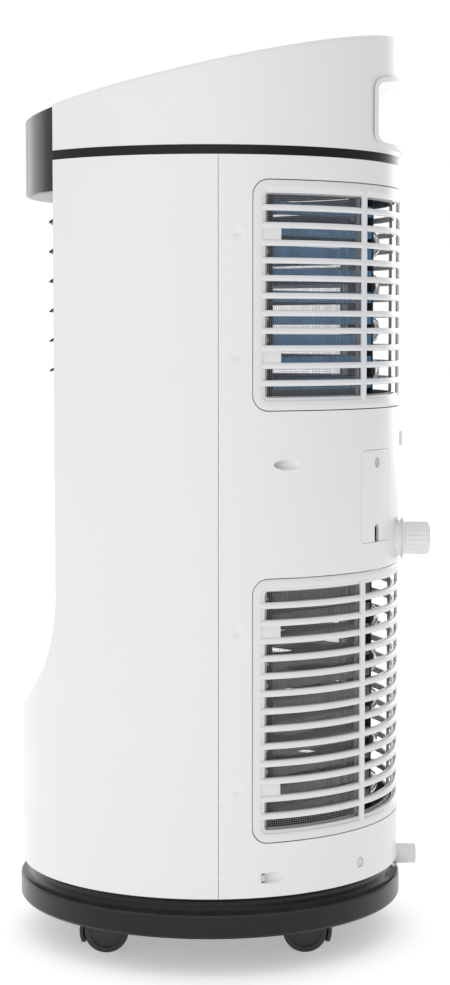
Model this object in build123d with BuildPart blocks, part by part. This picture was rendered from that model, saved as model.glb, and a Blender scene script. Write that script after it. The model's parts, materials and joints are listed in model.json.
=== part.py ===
from build123d import *
from math import asin, cos, degrees, hypot, radians, sin, sqrt, tan
import os

os.makedirs("parts", exist_ok=True)

# Portable air conditioner on four casters. Millimetres, +Z up, front towards -Y.
# Plan sizes are measured from the upright body axis. A "rise" is measured up from the
# shell's bottom edge unless it says otherwise.

# Body
body_radius = 175.0
shell_wall = 2.5
shell_lift = 14.25  # shell's bottom edge above the rim
shell_height = 635.65  # from the shell's bottom edge to the trim band
flat_depth = 38.5  # how far the flat front is cut into the round body
scoop_radius = 185.0
scoop_rise = 255.05  # where the flat front turns into the toe scoop
seam_y = 7.0
seam_gap = 0.4
band_height = 8.1
band_inset = 0.4
band_wall = 4.0

# Top housing and its rear grip
top_front_rise = 40.32  # white housing above the band, at the flat front
top_slope = 12.27
top_fillet = 3.0
notch_depth = 27.5
notch_rise = 9.0  # white strip between the band and the notch
notch_height = 50.5
notch_top_slope = 18.0
notch_radius = 8.0
liner_wall = 2.0
lip_width = 4.0
lip_proud = 2.2

# Display head
head_half_width = 93.5
head_depth = 32.0
head_drop = 26.6  # how far the head hangs below the band
fascia_wall = 3.0
head_wall = 2.5
case_gap = 0.2

# Control panel and buttons in the sloped top
panel_width = 132.0
panel_length = 44.0
panel_thickness = 3.0
panel_y = -88.0
panel_corner = 6.0
panel_gap = 0.3
button_radius = 7.0
button_pitch = 25.0
button_count = 5
button_proud = 0.8
button_gap = 0.35
button_flange = 1.2
flange_step = 1.5  # flange wider than its key
flange_gap = 0.3
display_window = (70.0, 30.0)
window_rise = 12.0  # window's middle above the band
board_size = (84.0, 44.0, 1.6)
board_set_back = 16.0
module_size = (50.0, 19.0, 6.0)
key_post = 2.5

# Air outlet and louvres
outlet_half_width = 92.0
outlet_end_room = 23.45  # last louvre pivot above the outlet's lower edge
outlet_below_band = 25.0
outlet_depth = 40.0
outlet_wall = 3.0
louvre_count = 6
louvre_pitch = 26.13
louvre_first = 46.9  # top pivot below the band
louvre_inset = 6.1  # pivots behind the flat front
louvre_chord = 26.0
louvre_thickness = 3.4
louvre_tilt = 27.0
louvre_end_gap = 0.7
pin_radius = 2.0
crank_radius = 10.0
crank_angle = -5.0
crank_pin_radius = 1.5
link_thickness = 3.0
link_width = 5.0
link_gap = 0.6
pin_clearance = 0.05
swing_motor_radius = 12.0
swing_motor_length = 15.0
swing_offset = 9.0
swing_ear = (36.0, 7.0, 2.0)

# Grilles and filters
window_front_y = 35.8
window_corner = 14.0
grille_gap = 0.4
grille_margin = 11.6  # at the front and rear ends; the top and bottom have their own
upper_margin = 11.75
lower_margin = 11.1
grille_frame_depth = 5.0
slat_height = 5.3
slat_depth = 6.0
slat_opening = 9.55
upper_rows = 12
upper_below_band = 19.9
lower_rows = 14
lower_above_shell = 46.75
lower_slat_opening = 9.6
lower_slat_height = 5.64
rib_angle = 39.25
rib_width = 7.0
rib_depth = 3.0
latch_row = 3
latch_start = 15.9
latch_end = 20.4
latch_set_back = 2.0
latch_thickness = 4.0
filter_gap = 1.0
filter_depth = 2.5
filter_border = 7.0
mesh_thickness = 0.5

# Coils
coil_thickness = 22.0
coil_front_y = 36.0
coil_rear_x = 41.0
coil_gap = 3.5  # slab corner to the filter
coil_end_gap = 3.0  # slab to the top and bottom of its window
tube_radius = 3.5
tube_pitch = 19.0
tube_row_offset = 5.5
tube_clearance = 0.05
coil_plate = 1.5  # end plates that hold the tubes
fin_height = 9.5  # fin pack round each tube level

# Base tray and casters
rim_drop = 11.0  # rim's lower edge below the tray floor
rim_height = 20.5
rim_overhang = 2.3
skirt_wall = 4.0
tray_gap = 1.0  # hoods to the tray floor
tray_wall = 3.0
neck_inset = 7.0
neck_rise = 8.25
cove_height = 11.5
wheel_radius = 20.0
wheel_width = 14.0
wheel_round = 1.6
tyre_depth = 5.0
hub_radius = 6.0
wheel_dish = 1.5
wheel_gap = 3.2  # centre plane to the inner face of a wheel
axle_radius = 2.5
caster_trail = 13.0
caster_spread = 83.8
caster_gap = 0.8
rear_caster_set_in = 8.0
hood_wall = 3.0
hood_clearance = 1.0
stem_radius = 4.0
stem_length = 18.0
socket_wall = 5.0
running_clearance = 0.05

# Drains, latch hook, exhaust outlet
drain_x = 36.0
drain_rise = 298.85
drain_flange_radius = 18.65
drain_flange_proud = 1.5
drain_tube_radius = 8.0
drain_bore = 5.5
drain_cap_radius = 15.05
drain_cap_length = 23.4
cap_flutes = 20
flute_radius = 1.5
tray_drain_rise = 11.0  # above the rim
tray_drain_radius = 9.2
tray_drain_proud = 11.2  # beyond the body
tray_drain_bore = 5.0
plug_head = 7.0
plug_stem = 12.0
hook_width = 12.0
hook_height = 13.0
hook_rise = 382.25
hook_proud = 3.0
outlet_x = -42.0
collar_radius = 52.5
collar_wall = 3.0
collar_gap = 2.0
collar_set_back = 22.0
collar_flange = 4.0
collar_below_deck = 0.6

# Screw pockets, cord cover
pocket_set_in = 13.4
pocket_radius = 4.7
pocket_rise = 373.75
low_pocket_set_in = 8.0
low_pocket_rise = 16.75
pocket_floor_y = 44.0
boss_wall = 2.0
front_boss_length = 16.0
screw_bite = 13.0  # how far a screw enters its front boss
screw_radius = 2.0
screw_head_radius = 3.8
screw_head_height = 3.0
cover_angle = 57.85
cover_width = 50.8
cover_rise = 301.25
cover_height = 81.5
cover_corner = 5.0
cord_slot_width = 8.0
cord_slot_height = 15.4
dimple_radius = 4.6
dimple_depth = 1.6
base_screw_angle = 49.7
base_tab_width = 15.0
base_tab_gap = 0.8
base_screw_rise = 16.75
gland_radius = 7.0
scoop_ball = 25.0
scoop_bite = 0.9

# Fans and motors
upper_fan_radius = 54.0
upper_fan_width = 128.0
upper_volute_radius = 76.0
upper_volute_width = 168.0
upper_fan_y = -38.0
lower_fan_radius = 50.0
lower_fan_width = 60.0
lower_volute_radius = 70.0
lower_volute_width = 78.0
lower_fan_x = 20.0
lower_fan_y = -28.0
lower_fan_rise = 171.25
fan_inlet_share = 0.75
fan_blades = 30
fan_ring = 2.0
blade_thickness = 1.4
blade_pitch = 38.0
fan_shaft_radius = 4.0
shaft_reach = 14.0
motor_gap = 4.0
mount_rim = (3.0, 10.0)  # mount ring beyond the inlet, inner and outer
mount_thickness = 4.0
mount_arm = 9.0
motor_radius = 30.0
motor_length = 34.0
duct_wall = 2.0
throat_gap = 0.3
plenum_depth = 61.0
plenum_front_y = 5.0
plenum_drop = 67.0  # plenum floor below the hose outlet's axis

# Deck, compressor and control box
deck_thickness = 3.0
deck_below_grille = 12.0
deck_below_outlet = 24.0
deck_gap = 0.5
deck_lip = 10.0
compressor_radius = 50.0
compressor_height = 200.0
compressor_x = -76.0
compressor_y = -45.0
compressor_foot = 7.0
foot_circle = 58.0
foot_start = -40.0
can_lift = 8.0  # can's foot plate above the tray
can_round = 14.0
plate_thickness = 5.0
foot_step = 2.0  # post thinner than the foot under it
accumulator_radius = 18.0
accumulator_gap = 3.0
accumulator_side = -70.0  # direction from the can
accumulator_height = 110.0
accumulator_rise = 40.0  # above the foot plate
pipe_radius = 4.0
pipe_pitch = 20.0
pipe_y = -4.0
pipe_rise = 30.0  # above the deck
box_size = (60.0, 40.0, 140.0)
box_corner = 4.0
box_x = 92.0
box_y = -96.0
capacitor_radius = 19.0
capacitor_height = 60.0
box_rise = 91.25

# Worked out from the above
rim_radius = body_radius + rim_overhang
hood_radius = wheel_radius + hood_clearance + hood_wall
tray_floor = wheel_radius + hood_radius + tray_gap
tray_clearance = tray_floor - rim_drop
rim_top = tray_clearance + rim_height
shell_bottom = rim_top + shell_lift
neck_top = shell_bottom + neck_rise
tray_drain_height = rim_top + tray_drain_rise
tray_drain_reach = body_radius + tray_drain_proud
scoop_height = shell_bottom + scoop_rise
drain_height = shell_bottom + drain_rise
hook_base = shell_bottom + hook_rise
pocket_height = shell_bottom + pocket_rise
low_pocket_height = shell_bottom + low_pocket_rise
cover_bottom = shell_bottom + cover_rise
base_screw_height = shell_bottom + base_screw_rise
lower_fan_height = shell_bottom + lower_fan_rise
box_bottom = shell_bottom + box_rise
drain_reach = body_radius + drain_flange_proud + drain_cap_length + 0.5
axis_y = (rim_radius - drain_reach) / 2  # the body axis, with the origin at the footprint's middle
band_bottom = shell_bottom + shell_height
band_top = band_bottom + band_height
flat_y = -(body_radius - flat_depth)
top_height = band_top + top_front_rise - flat_y * tan(radians(top_slope))  # on the body axis
inner_radius = body_radius - shell_wall
upper_top = band_bottom - upper_below_band
upper_pitch = slat_opening + slat_height
upper_height = upper_rows * upper_pitch - slat_height + 2 * upper_margin
upper_bottom = upper_top - upper_height
lower_bottom = shell_bottom + lower_above_shell
lower_pitch = lower_slat_opening + lower_slat_height
lower_height = lower_rows * lower_pitch - lower_slat_height + 2 * lower_margin
filter_radius = body_radius - slat_depth - filter_gap
coil_reach = filter_radius - filter_depth - coil_gap
outlet_top = band_bottom - outlet_below_band
outlet_height = louvre_first - outlet_below_band + (louvre_count - 1) * louvre_pitch + outlet_end_room
deck_bottom = min(upper_bottom - deck_below_grille, outlet_top - outlet_height - deck_below_outlet)
deck_top = deck_bottom + deck_thickness
outlet_z = deck_bottom - collar_below_deck - collar_radius - collar_flange
plenum_bottom = outlet_z - plenum_drop
spin_axis = Axis((0, axis_y, 0), (0, 0, 1))


def level(z):
    """Horizontal sketch plane on the body axis."""
    return Plane((0, axis_y, z))


def side_on(x):
    """Upright plane facing +X: sketch x is world Y from the axis, sketch y is height."""
    return Plane((x, axis_y, 0), x_dir=(0, 1, 0), z_dir=(1, 0, 0))


def facing_rear(y):
    """Upright plane facing +Y: sketch x is world -X, sketch y is height."""
    return Plane((0, axis_y + y, 0), x_dir=(-1, 0, 0), z_dir=(0, 1, 0))


def facing_out(angle, radius):
    """Upright plane touching the round body at an angle from +X."""
    out = Vector(cos(radians(angle)), sin(radians(angle)), 0)
    return Plane(Vector(0, axis_y, 0) + out * radius, x_dir=(-out.Y, out.X, 0), z_dir=out)


def section(angle):
    """Half section through the body axis: sketch x is the radius, sketch y the height."""
    out = Vector(cos(radians(angle)), sin(radians(angle)), 0)
    return Plane((0, axis_y, 0), x_dir=out, z_dir=(out.Y, -out.X, 0))


def finish(part, name):
    part.label = name
    export_step(part, f"parts/{name}.step")


def plan(z, inset):
    """Round plan with the flat front, drawn in by an inset."""
    with BuildSketch(level(z)) as outline:
        Circle(body_radius - inset)
        with Locations((0, flat_y + inset - body_radius)):
            Rectangle(2 * body_radius, 2 * body_radius, mode=Mode.SUBTRACT)
    return outline.sketch


def body_solid(inset, low, high):
    """Round body with the flat front and the toe scoop."""
    with BuildPart() as blank:
        with BuildSketch(level(low)):
            Circle(body_radius - inset)
        extrude(amount=high - low)
        with BuildSketch(side_on(0)):
            with Locations((flat_y - scoop_radius, scoop_height)):
                Circle(scoop_radius + inset)
            with Locations((flat_y + inset - body_radius, scoop_height + body_radius * 3)):
                Rectangle(2 * body_radius, body_radius * 6)
        extrude(amount=body_radius, both=True, mode=Mode.SUBTRACT)
    return blank.part


def half_space(y_from, y_to):
    """Tall block across the whole body between two depths."""
    with BuildPart() as block:
        with BuildSketch(level(0)):
            with Locations((0, (y_from + y_to) / 2)):
                Rectangle(4 * body_radius, y_to - y_from)
        extrude(amount=2 * band_top)
    return block.part


def ring(outer, inner, low, high):
    """Upright tube on the body axis."""
    with BuildPart() as tube:
        with BuildSketch(level(low)):
            Circle(outer)
            Circle(inner, mode=Mode.SUBTRACT)
        extrude(amount=high - low)
    return tube.part


def window_prism(low, high, front_y, corner):
    """Block behind front_y with rounded front corners, seen from the side."""
    with BuildPart() as block:
        with BuildSketch(side_on(0)) as profile:
            with Locations((front_y, low)):
                Rectangle(2 * body_radius, high - low, align=(Align.MIN, Align.MIN))
            fillet(profile.vertices().group_by(Axis.X)[0], corner)
        extrude(amount=2 * body_radius, both=True)
    return block.part


def slope_plane(drop):
    """Plane of the sloped top, lowered by a drop."""
    tilt = radians(top_slope)
    origin = (0, axis_y, top_height - drop / cos(tilt))
    return Plane(origin, x_dir=(1, 0, 0), z_dir=(0, -sin(tilt), cos(tilt)))


# ---- Base tray ----
skirt_inner = rim_radius - skirt_wall
neck_radius = body_radius - neck_inset
caster_sweep = hypot(caster_trail + wheel_radius, wheel_gap + wheel_width)
pivot_circle = skirt_inner - caster_sweep - caster_gap
front_pivot_y = -sqrt(pivot_circle**2 - caster_spread**2)
rear_pivot_y = -front_pivot_y - rear_caster_set_in
casters = {
    "front_left": (-caster_spread, front_pivot_y, 1),
    "front_right": (caster_spread, front_pivot_y, 1),
    "rear_left": (-caster_spread, rear_pivot_y, -1),
    "rear_right": (caster_spread, rear_pivot_y, -1),
}
stem_top = tray_floor + stem_length

with BuildPart() as base_tray:
    with BuildSketch(section(0)):
        with BuildLine():
            outside = Polyline(
                (0, tray_floor),
                (neck_radius - tray_wall, tray_floor),
                (neck_radius - tray_wall, rim_top - tray_wall),
                (skirt_inner, rim_top - tray_wall),
                (skirt_inner, tray_clearance),
                (rim_radius - 1.5, tray_clearance),
                (rim_radius, tray_clearance + 2.0),
                (rim_radius, rim_top - 1.5),
                (rim_radius - 1.5, rim_top),
                (rim_radius - 3.5, rim_top),
            )
            cove = TangentArc(
                outside @ 1, (neck_radius, rim_top + cove_height), tangent=(-1, 0.12)
            )
            Polyline(
                cove @ 1,
                (neck_radius, neck_top),
                (neck_radius - tray_wall, neck_top),
                (neck_radius - tray_wall, rim_top + tray_wall),
                (neck_radius - tray_wall - 4, tray_floor + tray_wall),
                (0, tray_floor + tray_wall),
                (0, tray_floor),
            )
        make_face()
    revolve(axis=spin_axis)
    with BuildSketch(level(tray_floor)):
        with Locations(*[(x, y) for x, y, _ in casters.values()]):
            Circle(stem_radius + socket_wall)
    extrude(amount=stem_length + tray_wall)
    with BuildSketch(level(tray_clearance)):
        with Locations(*[(x, y) for x, y, _ in casters.values()]):
            Circle(stem_radius + running_clearance)
    extrude(amount=stem_top - tray_clearance + running_clearance, mode=Mode.SUBTRACT)
    for angle in (base_screw_angle, 180 - base_screw_angle):
        with BuildSketch(facing_out(angle, neck_radius - 2 * tray_wall)):
            with Locations((0, (neck_top - tray_wall + base_screw_height + 8) / 2)):
                Rectangle(base_tab_width, base_screw_height + 8 - neck_top + tray_wall)
        extrude(amount=2 * tray_wall + neck_inset - shell_wall - base_tab_gap)
        with BuildSketch(facing_out(angle, neck_radius - 3 * tray_wall)):
            with Locations((0, base_screw_height)):
                Circle(screw_radius + running_clearance)
        extrude(amount=8 * tray_wall, mode=Mode.SUBTRACT)
    with BuildSketch(facing_rear(neck_radius - 2 * tray_wall)):
        with Locations((0, tray_drain_height)):
            Circle(tray_drain_radius)
    extrude(amount=tray_drain_reach - neck_radius + 2 * tray_wall)
    with BuildSketch(facing_rear(neck_radius - 3 * tray_wall)):
        with Locations((0, tray_drain_height)):
            Circle(tray_drain_bore)
    extrude(amount=tray_drain_reach, mode=Mode.SUBTRACT)
finish(base_tray.part, "base_tray")

with BuildPart() as tray_plug:
    with BuildSketch(facing_rear(tray_drain_reach)):
        with Locations((0, tray_drain_height)):
            Circle(tray_drain_radius)
    extrude(amount=plug_head)
    fillet(tray_plug.faces().sort_by(Axis.Y)[-1].edges(), 0.8)
    with BuildSketch(facing_rear(tray_drain_reach - plug_stem)):
        with Locations((0, tray_drain_height)):
            Circle(tray_drain_bore - running_clearance)
    extrude(amount=plug_stem)
finish(tray_plug.part, "tray_plug")

# ---- Casters ----
caster_width = wheel_gap + wheel_width

for place, (x, y, side) in casters.items():
    axle_y = y + side * caster_trail
    with BuildPart() as hood:
        with BuildSketch(side_on(x)):
            with Locations((axle_y, wheel_radius)):
                Circle(hood_radius)
            with Locations((y, wheel_radius + hood_radius - 8)):
                Rectangle(18, 16)
            with Locations((axle_y, wheel_radius)):
                Circle(wheel_radius + hood_clearance, mode=Mode.SUBTRACT)
            with Locations((axle_y + side * (hood_radius + 8), wheel_radius)):
                Rectangle(2 * hood_radius, 4 * hood_radius, mode=Mode.SUBTRACT)
            with Locations((axle_y, -10)):
                Rectangle(4 * hood_radius, 40, mode=Mode.SUBTRACT)
        extrude(amount=caster_width, both=True)
        with BuildSketch(side_on(x)):
            with Locations((axle_y, wheel_radius)):
                Circle(wheel_radius + hood_clearance + 0.5)
            with Locations((axle_y + side * (wheel_radius + 8), wheel_radius)):
                Rectangle(2 * wheel_radius, 4 * wheel_radius, mode=Mode.SUBTRACT)
            with Locations((axle_y, -12)):
                Rectangle(4 * hood_radius, 40, mode=Mode.SUBTRACT)
            with Locations((axle_y, wheel_radius)):
                Circle(axle_radius + running_clearance, mode=Mode.SUBTRACT)
        extrude(amount=wheel_gap - 0.6, both=True)
        with BuildSketch(level(wheel_radius + hood_radius - 6)):
            with Locations((x, y)):
                Circle(stem_radius)
        extrude(amount=stem_top - wheel_radius - hood_radius + 6)
        with BuildSketch(level(tray_floor - 1)):
            with Locations((x, y)):
                Rectangle(4 * hood_radius, 4 * hood_radius)
                Circle(stem_radius, mode=Mode.SUBTRACT)
        extrude(amount=stem_length, mode=Mode.SUBTRACT)
    finish(hood.part, f"caster_hood_{place}")
    with BuildPart() as wheels:
        for turn in (1, -1):
            inner_face = (x + turn * wheel_gap, axis_y + axle_y, wheel_radius)
            face = Plane(inner_face, x_dir=(0, 1, 0), z_dir=(turn, 0, 0))
            with BuildSketch(face):
                Circle(wheel_radius)
            extrude(amount=wheel_width)
        fillet(wheels.edges().filter_by(GeomType.CIRCLE), wheel_round)
        for turn in (1, -1):
            cap = Plane(
                (x + turn * (wheel_gap + wheel_width), axis_y + axle_y, wheel_radius),
                x_dir=(0, 1, 0),
                z_dir=(-turn, 0, 0),
            )
            with BuildSketch(cap):
                Circle(wheel_radius - tyre_depth)
                Circle(hub_radius, mode=Mode.SUBTRACT)
            extrude(amount=wheel_dish, mode=Mode.SUBTRACT)
        with BuildSketch(Plane((x, axis_y + axle_y, wheel_radius), x_dir=(0, 1, 0), z_dir=(1, 0, 0))):
            Circle(axle_radius)
        extrude(amount=wheel_gap + 2, both=True)
    finish(wheels.part, f"caster_wheels_{place}")

# ---- Screw pockets shared by both shells ----
pockets = [
    (body_radius - pocket_set_in, pocket_height),
    (-body_radius + pocket_set_in, pocket_height),
    (body_radius - low_pocket_set_in, low_pocket_height),
    (-body_radius + low_pocket_set_in, low_pocket_height),
]


def across_pockets(y, radius, length):
    """Rods along +Y at every screw pocket."""
    with BuildPart() as rods:
        with BuildSketch(facing_rear(y)):
            with Locations(*[(-x, z) for x, z in pockets]):
                Circle(radius)
        extrude(amount=length)
    return rods.part


# ---- Front shell ----
outlet_centre = outlet_top - outlet_height / 2
body_core = body_solid(shell_wall, 0, 2 * band_top)

with BuildPart() as front_shell:
    add(body_solid(0, shell_bottom, band_bottom))
    add(body_core, mode=Mode.SUBTRACT)
    add(across_pockets(seam_y - front_boss_length, pocket_radius + boss_wall - 1, front_boss_length))
    add(
        across_pockets(seam_y - screw_bite - 1, screw_radius + running_clearance, front_boss_length),
        mode=Mode.SUBTRACT,
    )
    add(ring(2 * body_radius, body_radius, 0, 2 * band_top), mode=Mode.SUBTRACT)
    add(half_space(seam_y - seam_gap / 2, 3 * body_radius), mode=Mode.SUBTRACT)
    with BuildSketch(facing_rear(-body_radius)) as opening:
        with Locations((0, outlet_centre)):
            Rectangle(2 * outlet_half_width, outlet_height)
        fillet(opening.vertices(), 6)
    extrude(amount=body_radius / 2, mode=Mode.SUBTRACT)
finish(front_shell.part, "front_shell")

# ---- Rear shell ----
pocket_depth = body_radius - pocket_floor_y


def cover_prism(gap):
    """Block of the cord cover's outline, grown by a gap."""
    with BuildPart() as block:
        with BuildSketch(facing_out(cover_angle, body_radius - 12)) as outline:
            with Locations((0, cover_bottom + cover_height / 2)):
                Rectangle(cover_width + 2 * gap, cover_height + 2 * gap)
            fillet(outline.vertices(), cover_corner)
        extrude(amount=24)
    return block.part


def latch_rows(low, rows, pitch, opening, margin):
    """Heights of the middle of the third slot from each end."""
    start = low + margin + opening / 2
    return [start + (latch_row - 1) * pitch, start + (rows - latch_row) * pitch]


upper_latches = latch_rows(upper_bottom, upper_rows, upper_pitch, slat_opening, upper_margin)
lower_latches = latch_rows(lower_bottom, lower_rows, lower_pitch, lower_slat_opening, lower_margin)
scoop_angle = degrees(asin(window_front_y / body_radius)) - 4.0

with BuildPart() as rear_shell:
    add(ring(body_radius, inner_radius, shell_bottom, band_bottom))
    add(across_pockets(seam_y, pocket_radius + boss_wall, pocket_depth))
    with BuildSketch(facing_rear(inner_radius - 2)):
        with Locations((0, hook_base + hook_height / 2)):
            Rectangle(hook_width, hook_height)
    extrude(amount=shell_wall + 2 + hook_proud)
    add(across_pockets(pocket_floor_y, pocket_radius, body_radius), mode=Mode.SUBTRACT)
    add(across_pockets(-body_radius, screw_radius + running_clearance, 2 * body_radius), mode=Mode.SUBTRACT)
    outer_trim = ring(2 * body_radius, body_radius, 0, hook_base - 1)
    add(outer_trim, mode=Mode.SUBTRACT)
    add(half_space(-3 * body_radius, seam_y + seam_gap / 2), mode=Mode.SUBTRACT)
    add(window_prism(upper_bottom, upper_top, window_front_y, window_corner), mode=Mode.SUBTRACT)
    add(
        window_prism(lower_bottom, lower_bottom + lower_height, window_front_y, window_corner),
        mode=Mode.SUBTRACT,
    )
    add(cover_prism(0.35), mode=Mode.SUBTRACT)
    with BuildSketch(facing_rear(0)):
        with Locations((-outlet_x, outlet_z)):
            Circle(collar_radius + collar_gap)
        with Locations((-drain_x, drain_height)):
            Circle(drain_flange_radius - 2)
        with Locations((0, tray_drain_height)):
            Circle(tray_drain_radius + 1)
    extrude(amount=2 * body_radius, mode=Mode.SUBTRACT)
    for angle in (base_screw_angle, 180 - base_screw_angle):
        with BuildSketch(facing_out(angle, body_radius - dimple_depth)):
            with Locations((0, base_screw_height)):
                Circle(dimple_radius)
        extrude(amount=8, mode=Mode.SUBTRACT)
        with BuildSketch(facing_out(angle, body_radius - 8)):
            with Locations((0, base_screw_height)):
                Circle(screw_radius + running_clearance)
        extrude(amount=16, mode=Mode.SUBTRACT)
    for turn in (scoop_angle, 180 - scoop_angle):
        for height in upper_latches + lower_latches:
            with Locations(facing_out(turn, body_radius - scoop_bite + scoop_ball) * Pos(0, height, 0)):
                Sphere(scoop_ball, mode=Mode.SUBTRACT)
finish(rear_shell.part, "rear_shell")

# ---- Cord cover and gland ----
slot_top = cover_bottom + cord_slot_height
cover_screw_height = cover_bottom + cover_height - 11.2

with BuildPart() as cord_cover:
    add(ring(body_radius, inner_radius, cover_bottom - 5, cover_bottom + cover_height + 5))
    add(cover_prism(0), mode=Mode.INTERSECT)
    with BuildSketch(facing_out(cover_angle, body_radius - 20)):
        with Locations((0, slot_top - cord_slot_width / 2)):
            Circle(cord_slot_width / 2)
        with Locations((0, (slot_top - cord_slot_width / 2 + cover_bottom - 10) / 2)):
            Rectangle(cord_slot_width, slot_top - cord_slot_width / 2 - cover_bottom + 10)
        with Locations((0, cover_screw_height)):
            Circle(screw_radius + running_clearance)
    extrude(amount=40, mode=Mode.SUBTRACT)
    with BuildSketch(facing_out(cover_angle, body_radius - dimple_depth)):
        with Locations((0, cover_screw_height)):
            Circle(dimple_radius)
    extrude(amount=8, mode=Mode.SUBTRACT)
finish(cord_cover.part, "cord_cover")

with BuildPart() as cord_gland:
    with BuildSketch(facing_out(cover_angle, inner_radius - 16)):
        with Locations((0, cover_bottom + cord_slot_height / 2 + 2)):
            Circle(gland_radius)
            Circle(cord_slot_width / 2, mode=Mode.SUBTRACT)
    extrude(amount=15)
    with BuildSketch(facing_out(cover_angle, inner_radius - 18)):
        with Locations((0, cover_bottom + cord_slot_height / 2 + 2)):
            Circle(gland_radius + 2)
            Circle(cord_slot_width / 2, mode=Mode.SUBTRACT)
    extrude(amount=3)
finish(cord_gland.part, "cord_gland")

# ---- Shell screws, one group ----
with BuildPart() as shell_screws:
    add(across_pockets(pocket_floor_y, screw_head_radius, screw_head_height))
    add(across_pockets(seam_y - screw_bite, screw_radius, pocket_floor_y - seam_y + screw_bite + 1))
    radial = [
        (base_screw_angle, base_screw_height, body_radius - dimple_depth, 7.5),
        (180 - base_screw_angle, base_screw_height, body_radius - dimple_depth, 7.5),
        (cover_angle, cover_screw_height, body_radius - dimple_depth, 7.5),
    ]
    for angle, height, seat, length in radial:
        with BuildSketch(facing_out(angle, seat)):
            with Locations((0, height)):
                Circle(screw_head_radius)
        extrude(amount=dimple_depth * 0.7)
        with BuildSketch(facing_out(angle, seat - length)):
            with Locations((0, height)):
                Circle(screw_radius)
        extrude(amount=length)
finish(shell_screws.part, "shell_screws")

# ---- Trim band ----
with BuildPart() as trim_band:
    extrude(plan(band_bottom, band_inset), amount=band_height)
    extrude(plan(band_bottom, band_wall), amount=band_height, mode=Mode.SUBTRACT)
finish(trim_band.part, "trim_band")

# ---- Top housing and grip liner ----
notch_y = body_radius - notch_depth
notch_low = band_top + notch_rise
top_blank_height = top_height + body_radius - band_top


def notch_prism(grow):
    """Block that fills the rear grip notch, grown by an amount."""
    reach = 2 * notch_depth
    with BuildPart() as block:
        with BuildSketch(side_on(0)) as profile:
            with BuildLine():
                Polyline(
                    (notch_y, notch_low),
                    (notch_y + reach, notch_low),
                    (notch_y + reach, notch_low + notch_height + reach * sin(radians(notch_top_slope))),
                    (notch_y, notch_low + notch_height),
                    (notch_y, notch_low),
                )
            make_face()
            fillet(profile.vertices().group_by(Axis.X)[0], notch_radius)
            if grow > 0:
                offset(amount=grow)
        extrude(amount=body_radius, both=True)
    return block.part


with BuildPart() as top_housing:
    extrude(plan(band_top, 0), amount=top_blank_height)
    split(bisect_by=slope_plane(0), keep=Keep.BOTTOM)
    fillet(top_housing.faces().sort_by(Axis.Z)[-1].edges(), top_fillet)
    with BuildPart(mode=Mode.PRIVATE) as housing_core:
        extrude(plan(band_top - 1, shell_wall), amount=top_blank_height)
        split(bisect_by=slope_plane(shell_wall), keep=Keep.BOTTOM)
    add(housing_core.part, mode=Mode.SUBTRACT)
    add(notch_prism(liner_wall), mode=Mode.SUBTRACT)
    panel_plane = slope_plane(0).shift_origin(slope_plane(0).from_local_coords((0, panel_y, 0)))
    with BuildSketch(panel_plane.offset(-panel_thickness)) as recess:
        Rectangle(panel_width + 2 * panel_gap, panel_length + 2 * panel_gap)
        fillet(recess.vertices(), panel_corner)
    extrude(amount=3 * panel_thickness, mode=Mode.SUBTRACT)
finish(top_housing.part, "top_housing")

with BuildPart() as handle_liner:
    with BuildSketch(level(notch_low - 2 * lip_width)):
        Circle(body_radius + lip_proud)
    extrude(amount=notch_height + 8 * lip_width)
    add(notch_prism(lip_width), mode=Mode.INTERSECT)
    add(notch_prism(0), mode=Mode.SUBTRACT)
    with BuildPart(mode=Mode.PRIVATE) as behind_lip:
        with BuildSketch(level(notch_low - 3 * lip_width)):
            Circle(body_radius)
        extrude(amount=notch_height + 10 * lip_width)
        add(notch_prism(liner_wall), mode=Mode.SUBTRACT)
    add(behind_lip.part, mode=Mode.SUBTRACT)
finish(handle_liner.part, "handle_liner")

# ---- Display head ----
head_radius = (head_half_width**2 + head_depth**2) / (2 * head_depth)
head_centre = flat_y - head_depth + head_radius
head_bottom = band_bottom - head_drop


def head_segment(low, inset, drop):
    """Bowed block in front of the flat front, up to the sloped top."""
    with BuildPart() as block:
        with BuildSketch(level(low)):
            with Locations((0, head_centre)):
                Circle(head_radius - inset)
            with Locations((0, flat_y + body_radius)):
                Rectangle(2 * body_radius, 2 * body_radius, mode=Mode.SUBTRACT)
        extrude(amount=top_height)
        split(bisect_by=slope_plane(drop), keep=Keep.BOTTOM)
    return block.part


case_inset = fascia_wall + case_gap

with BuildPart() as head_fascia:
    add(head_segment(head_bottom + 1.2, 0, 0))
    fillet(head_fascia.faces().sort_by(Axis.Z)[-1].edges().filter_by(GeomType.LINE, reverse=True), 1.5)
    add(head_segment(head_bottom, fascia_wall, fascia_wall), mode=Mode.SUBTRACT)
finish(head_fascia.part, "head_fascia")

with BuildPart() as head_case:
    add(head_segment(head_bottom, case_inset, case_inset))
    add(head_segment(head_bottom + head_wall, case_inset + head_wall, fascia_wall + head_wall), mode=Mode.SUBTRACT)
    window_z = head_bottom + head_drop + window_rise
    with BuildSketch(facing_rear(flat_y - head_depth - 1)):
        with Locations((0, window_z)):
            Rectangle(*display_window)
    extrude(amount=head_depth / 2, mode=Mode.SUBTRACT)
finish(head_case.part, "head_case")

with BuildPart() as display_board:
    with BuildSketch(facing_rear(flat_y - board_set_back)):
        with Locations((0, window_z)):
            Rectangle(board_size[0], board_size[1])
    extrude(amount=board_size[2])
    with BuildSketch(facing_rear(flat_y - board_set_back - module_size[2])):
        with Locations((0, window_z)):
            Rectangle(module_size[0], module_size[1])
    extrude(amount=module_size[2])
finish(display_board.part, "display_board")

# ---- Control panel and buttons ----
button_spots = [((i - (button_count - 1) / 2) * button_pitch, 0) for i in range(button_count)]
button_names = ["power", "mode", "lower", "raise", "speed"]

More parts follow.
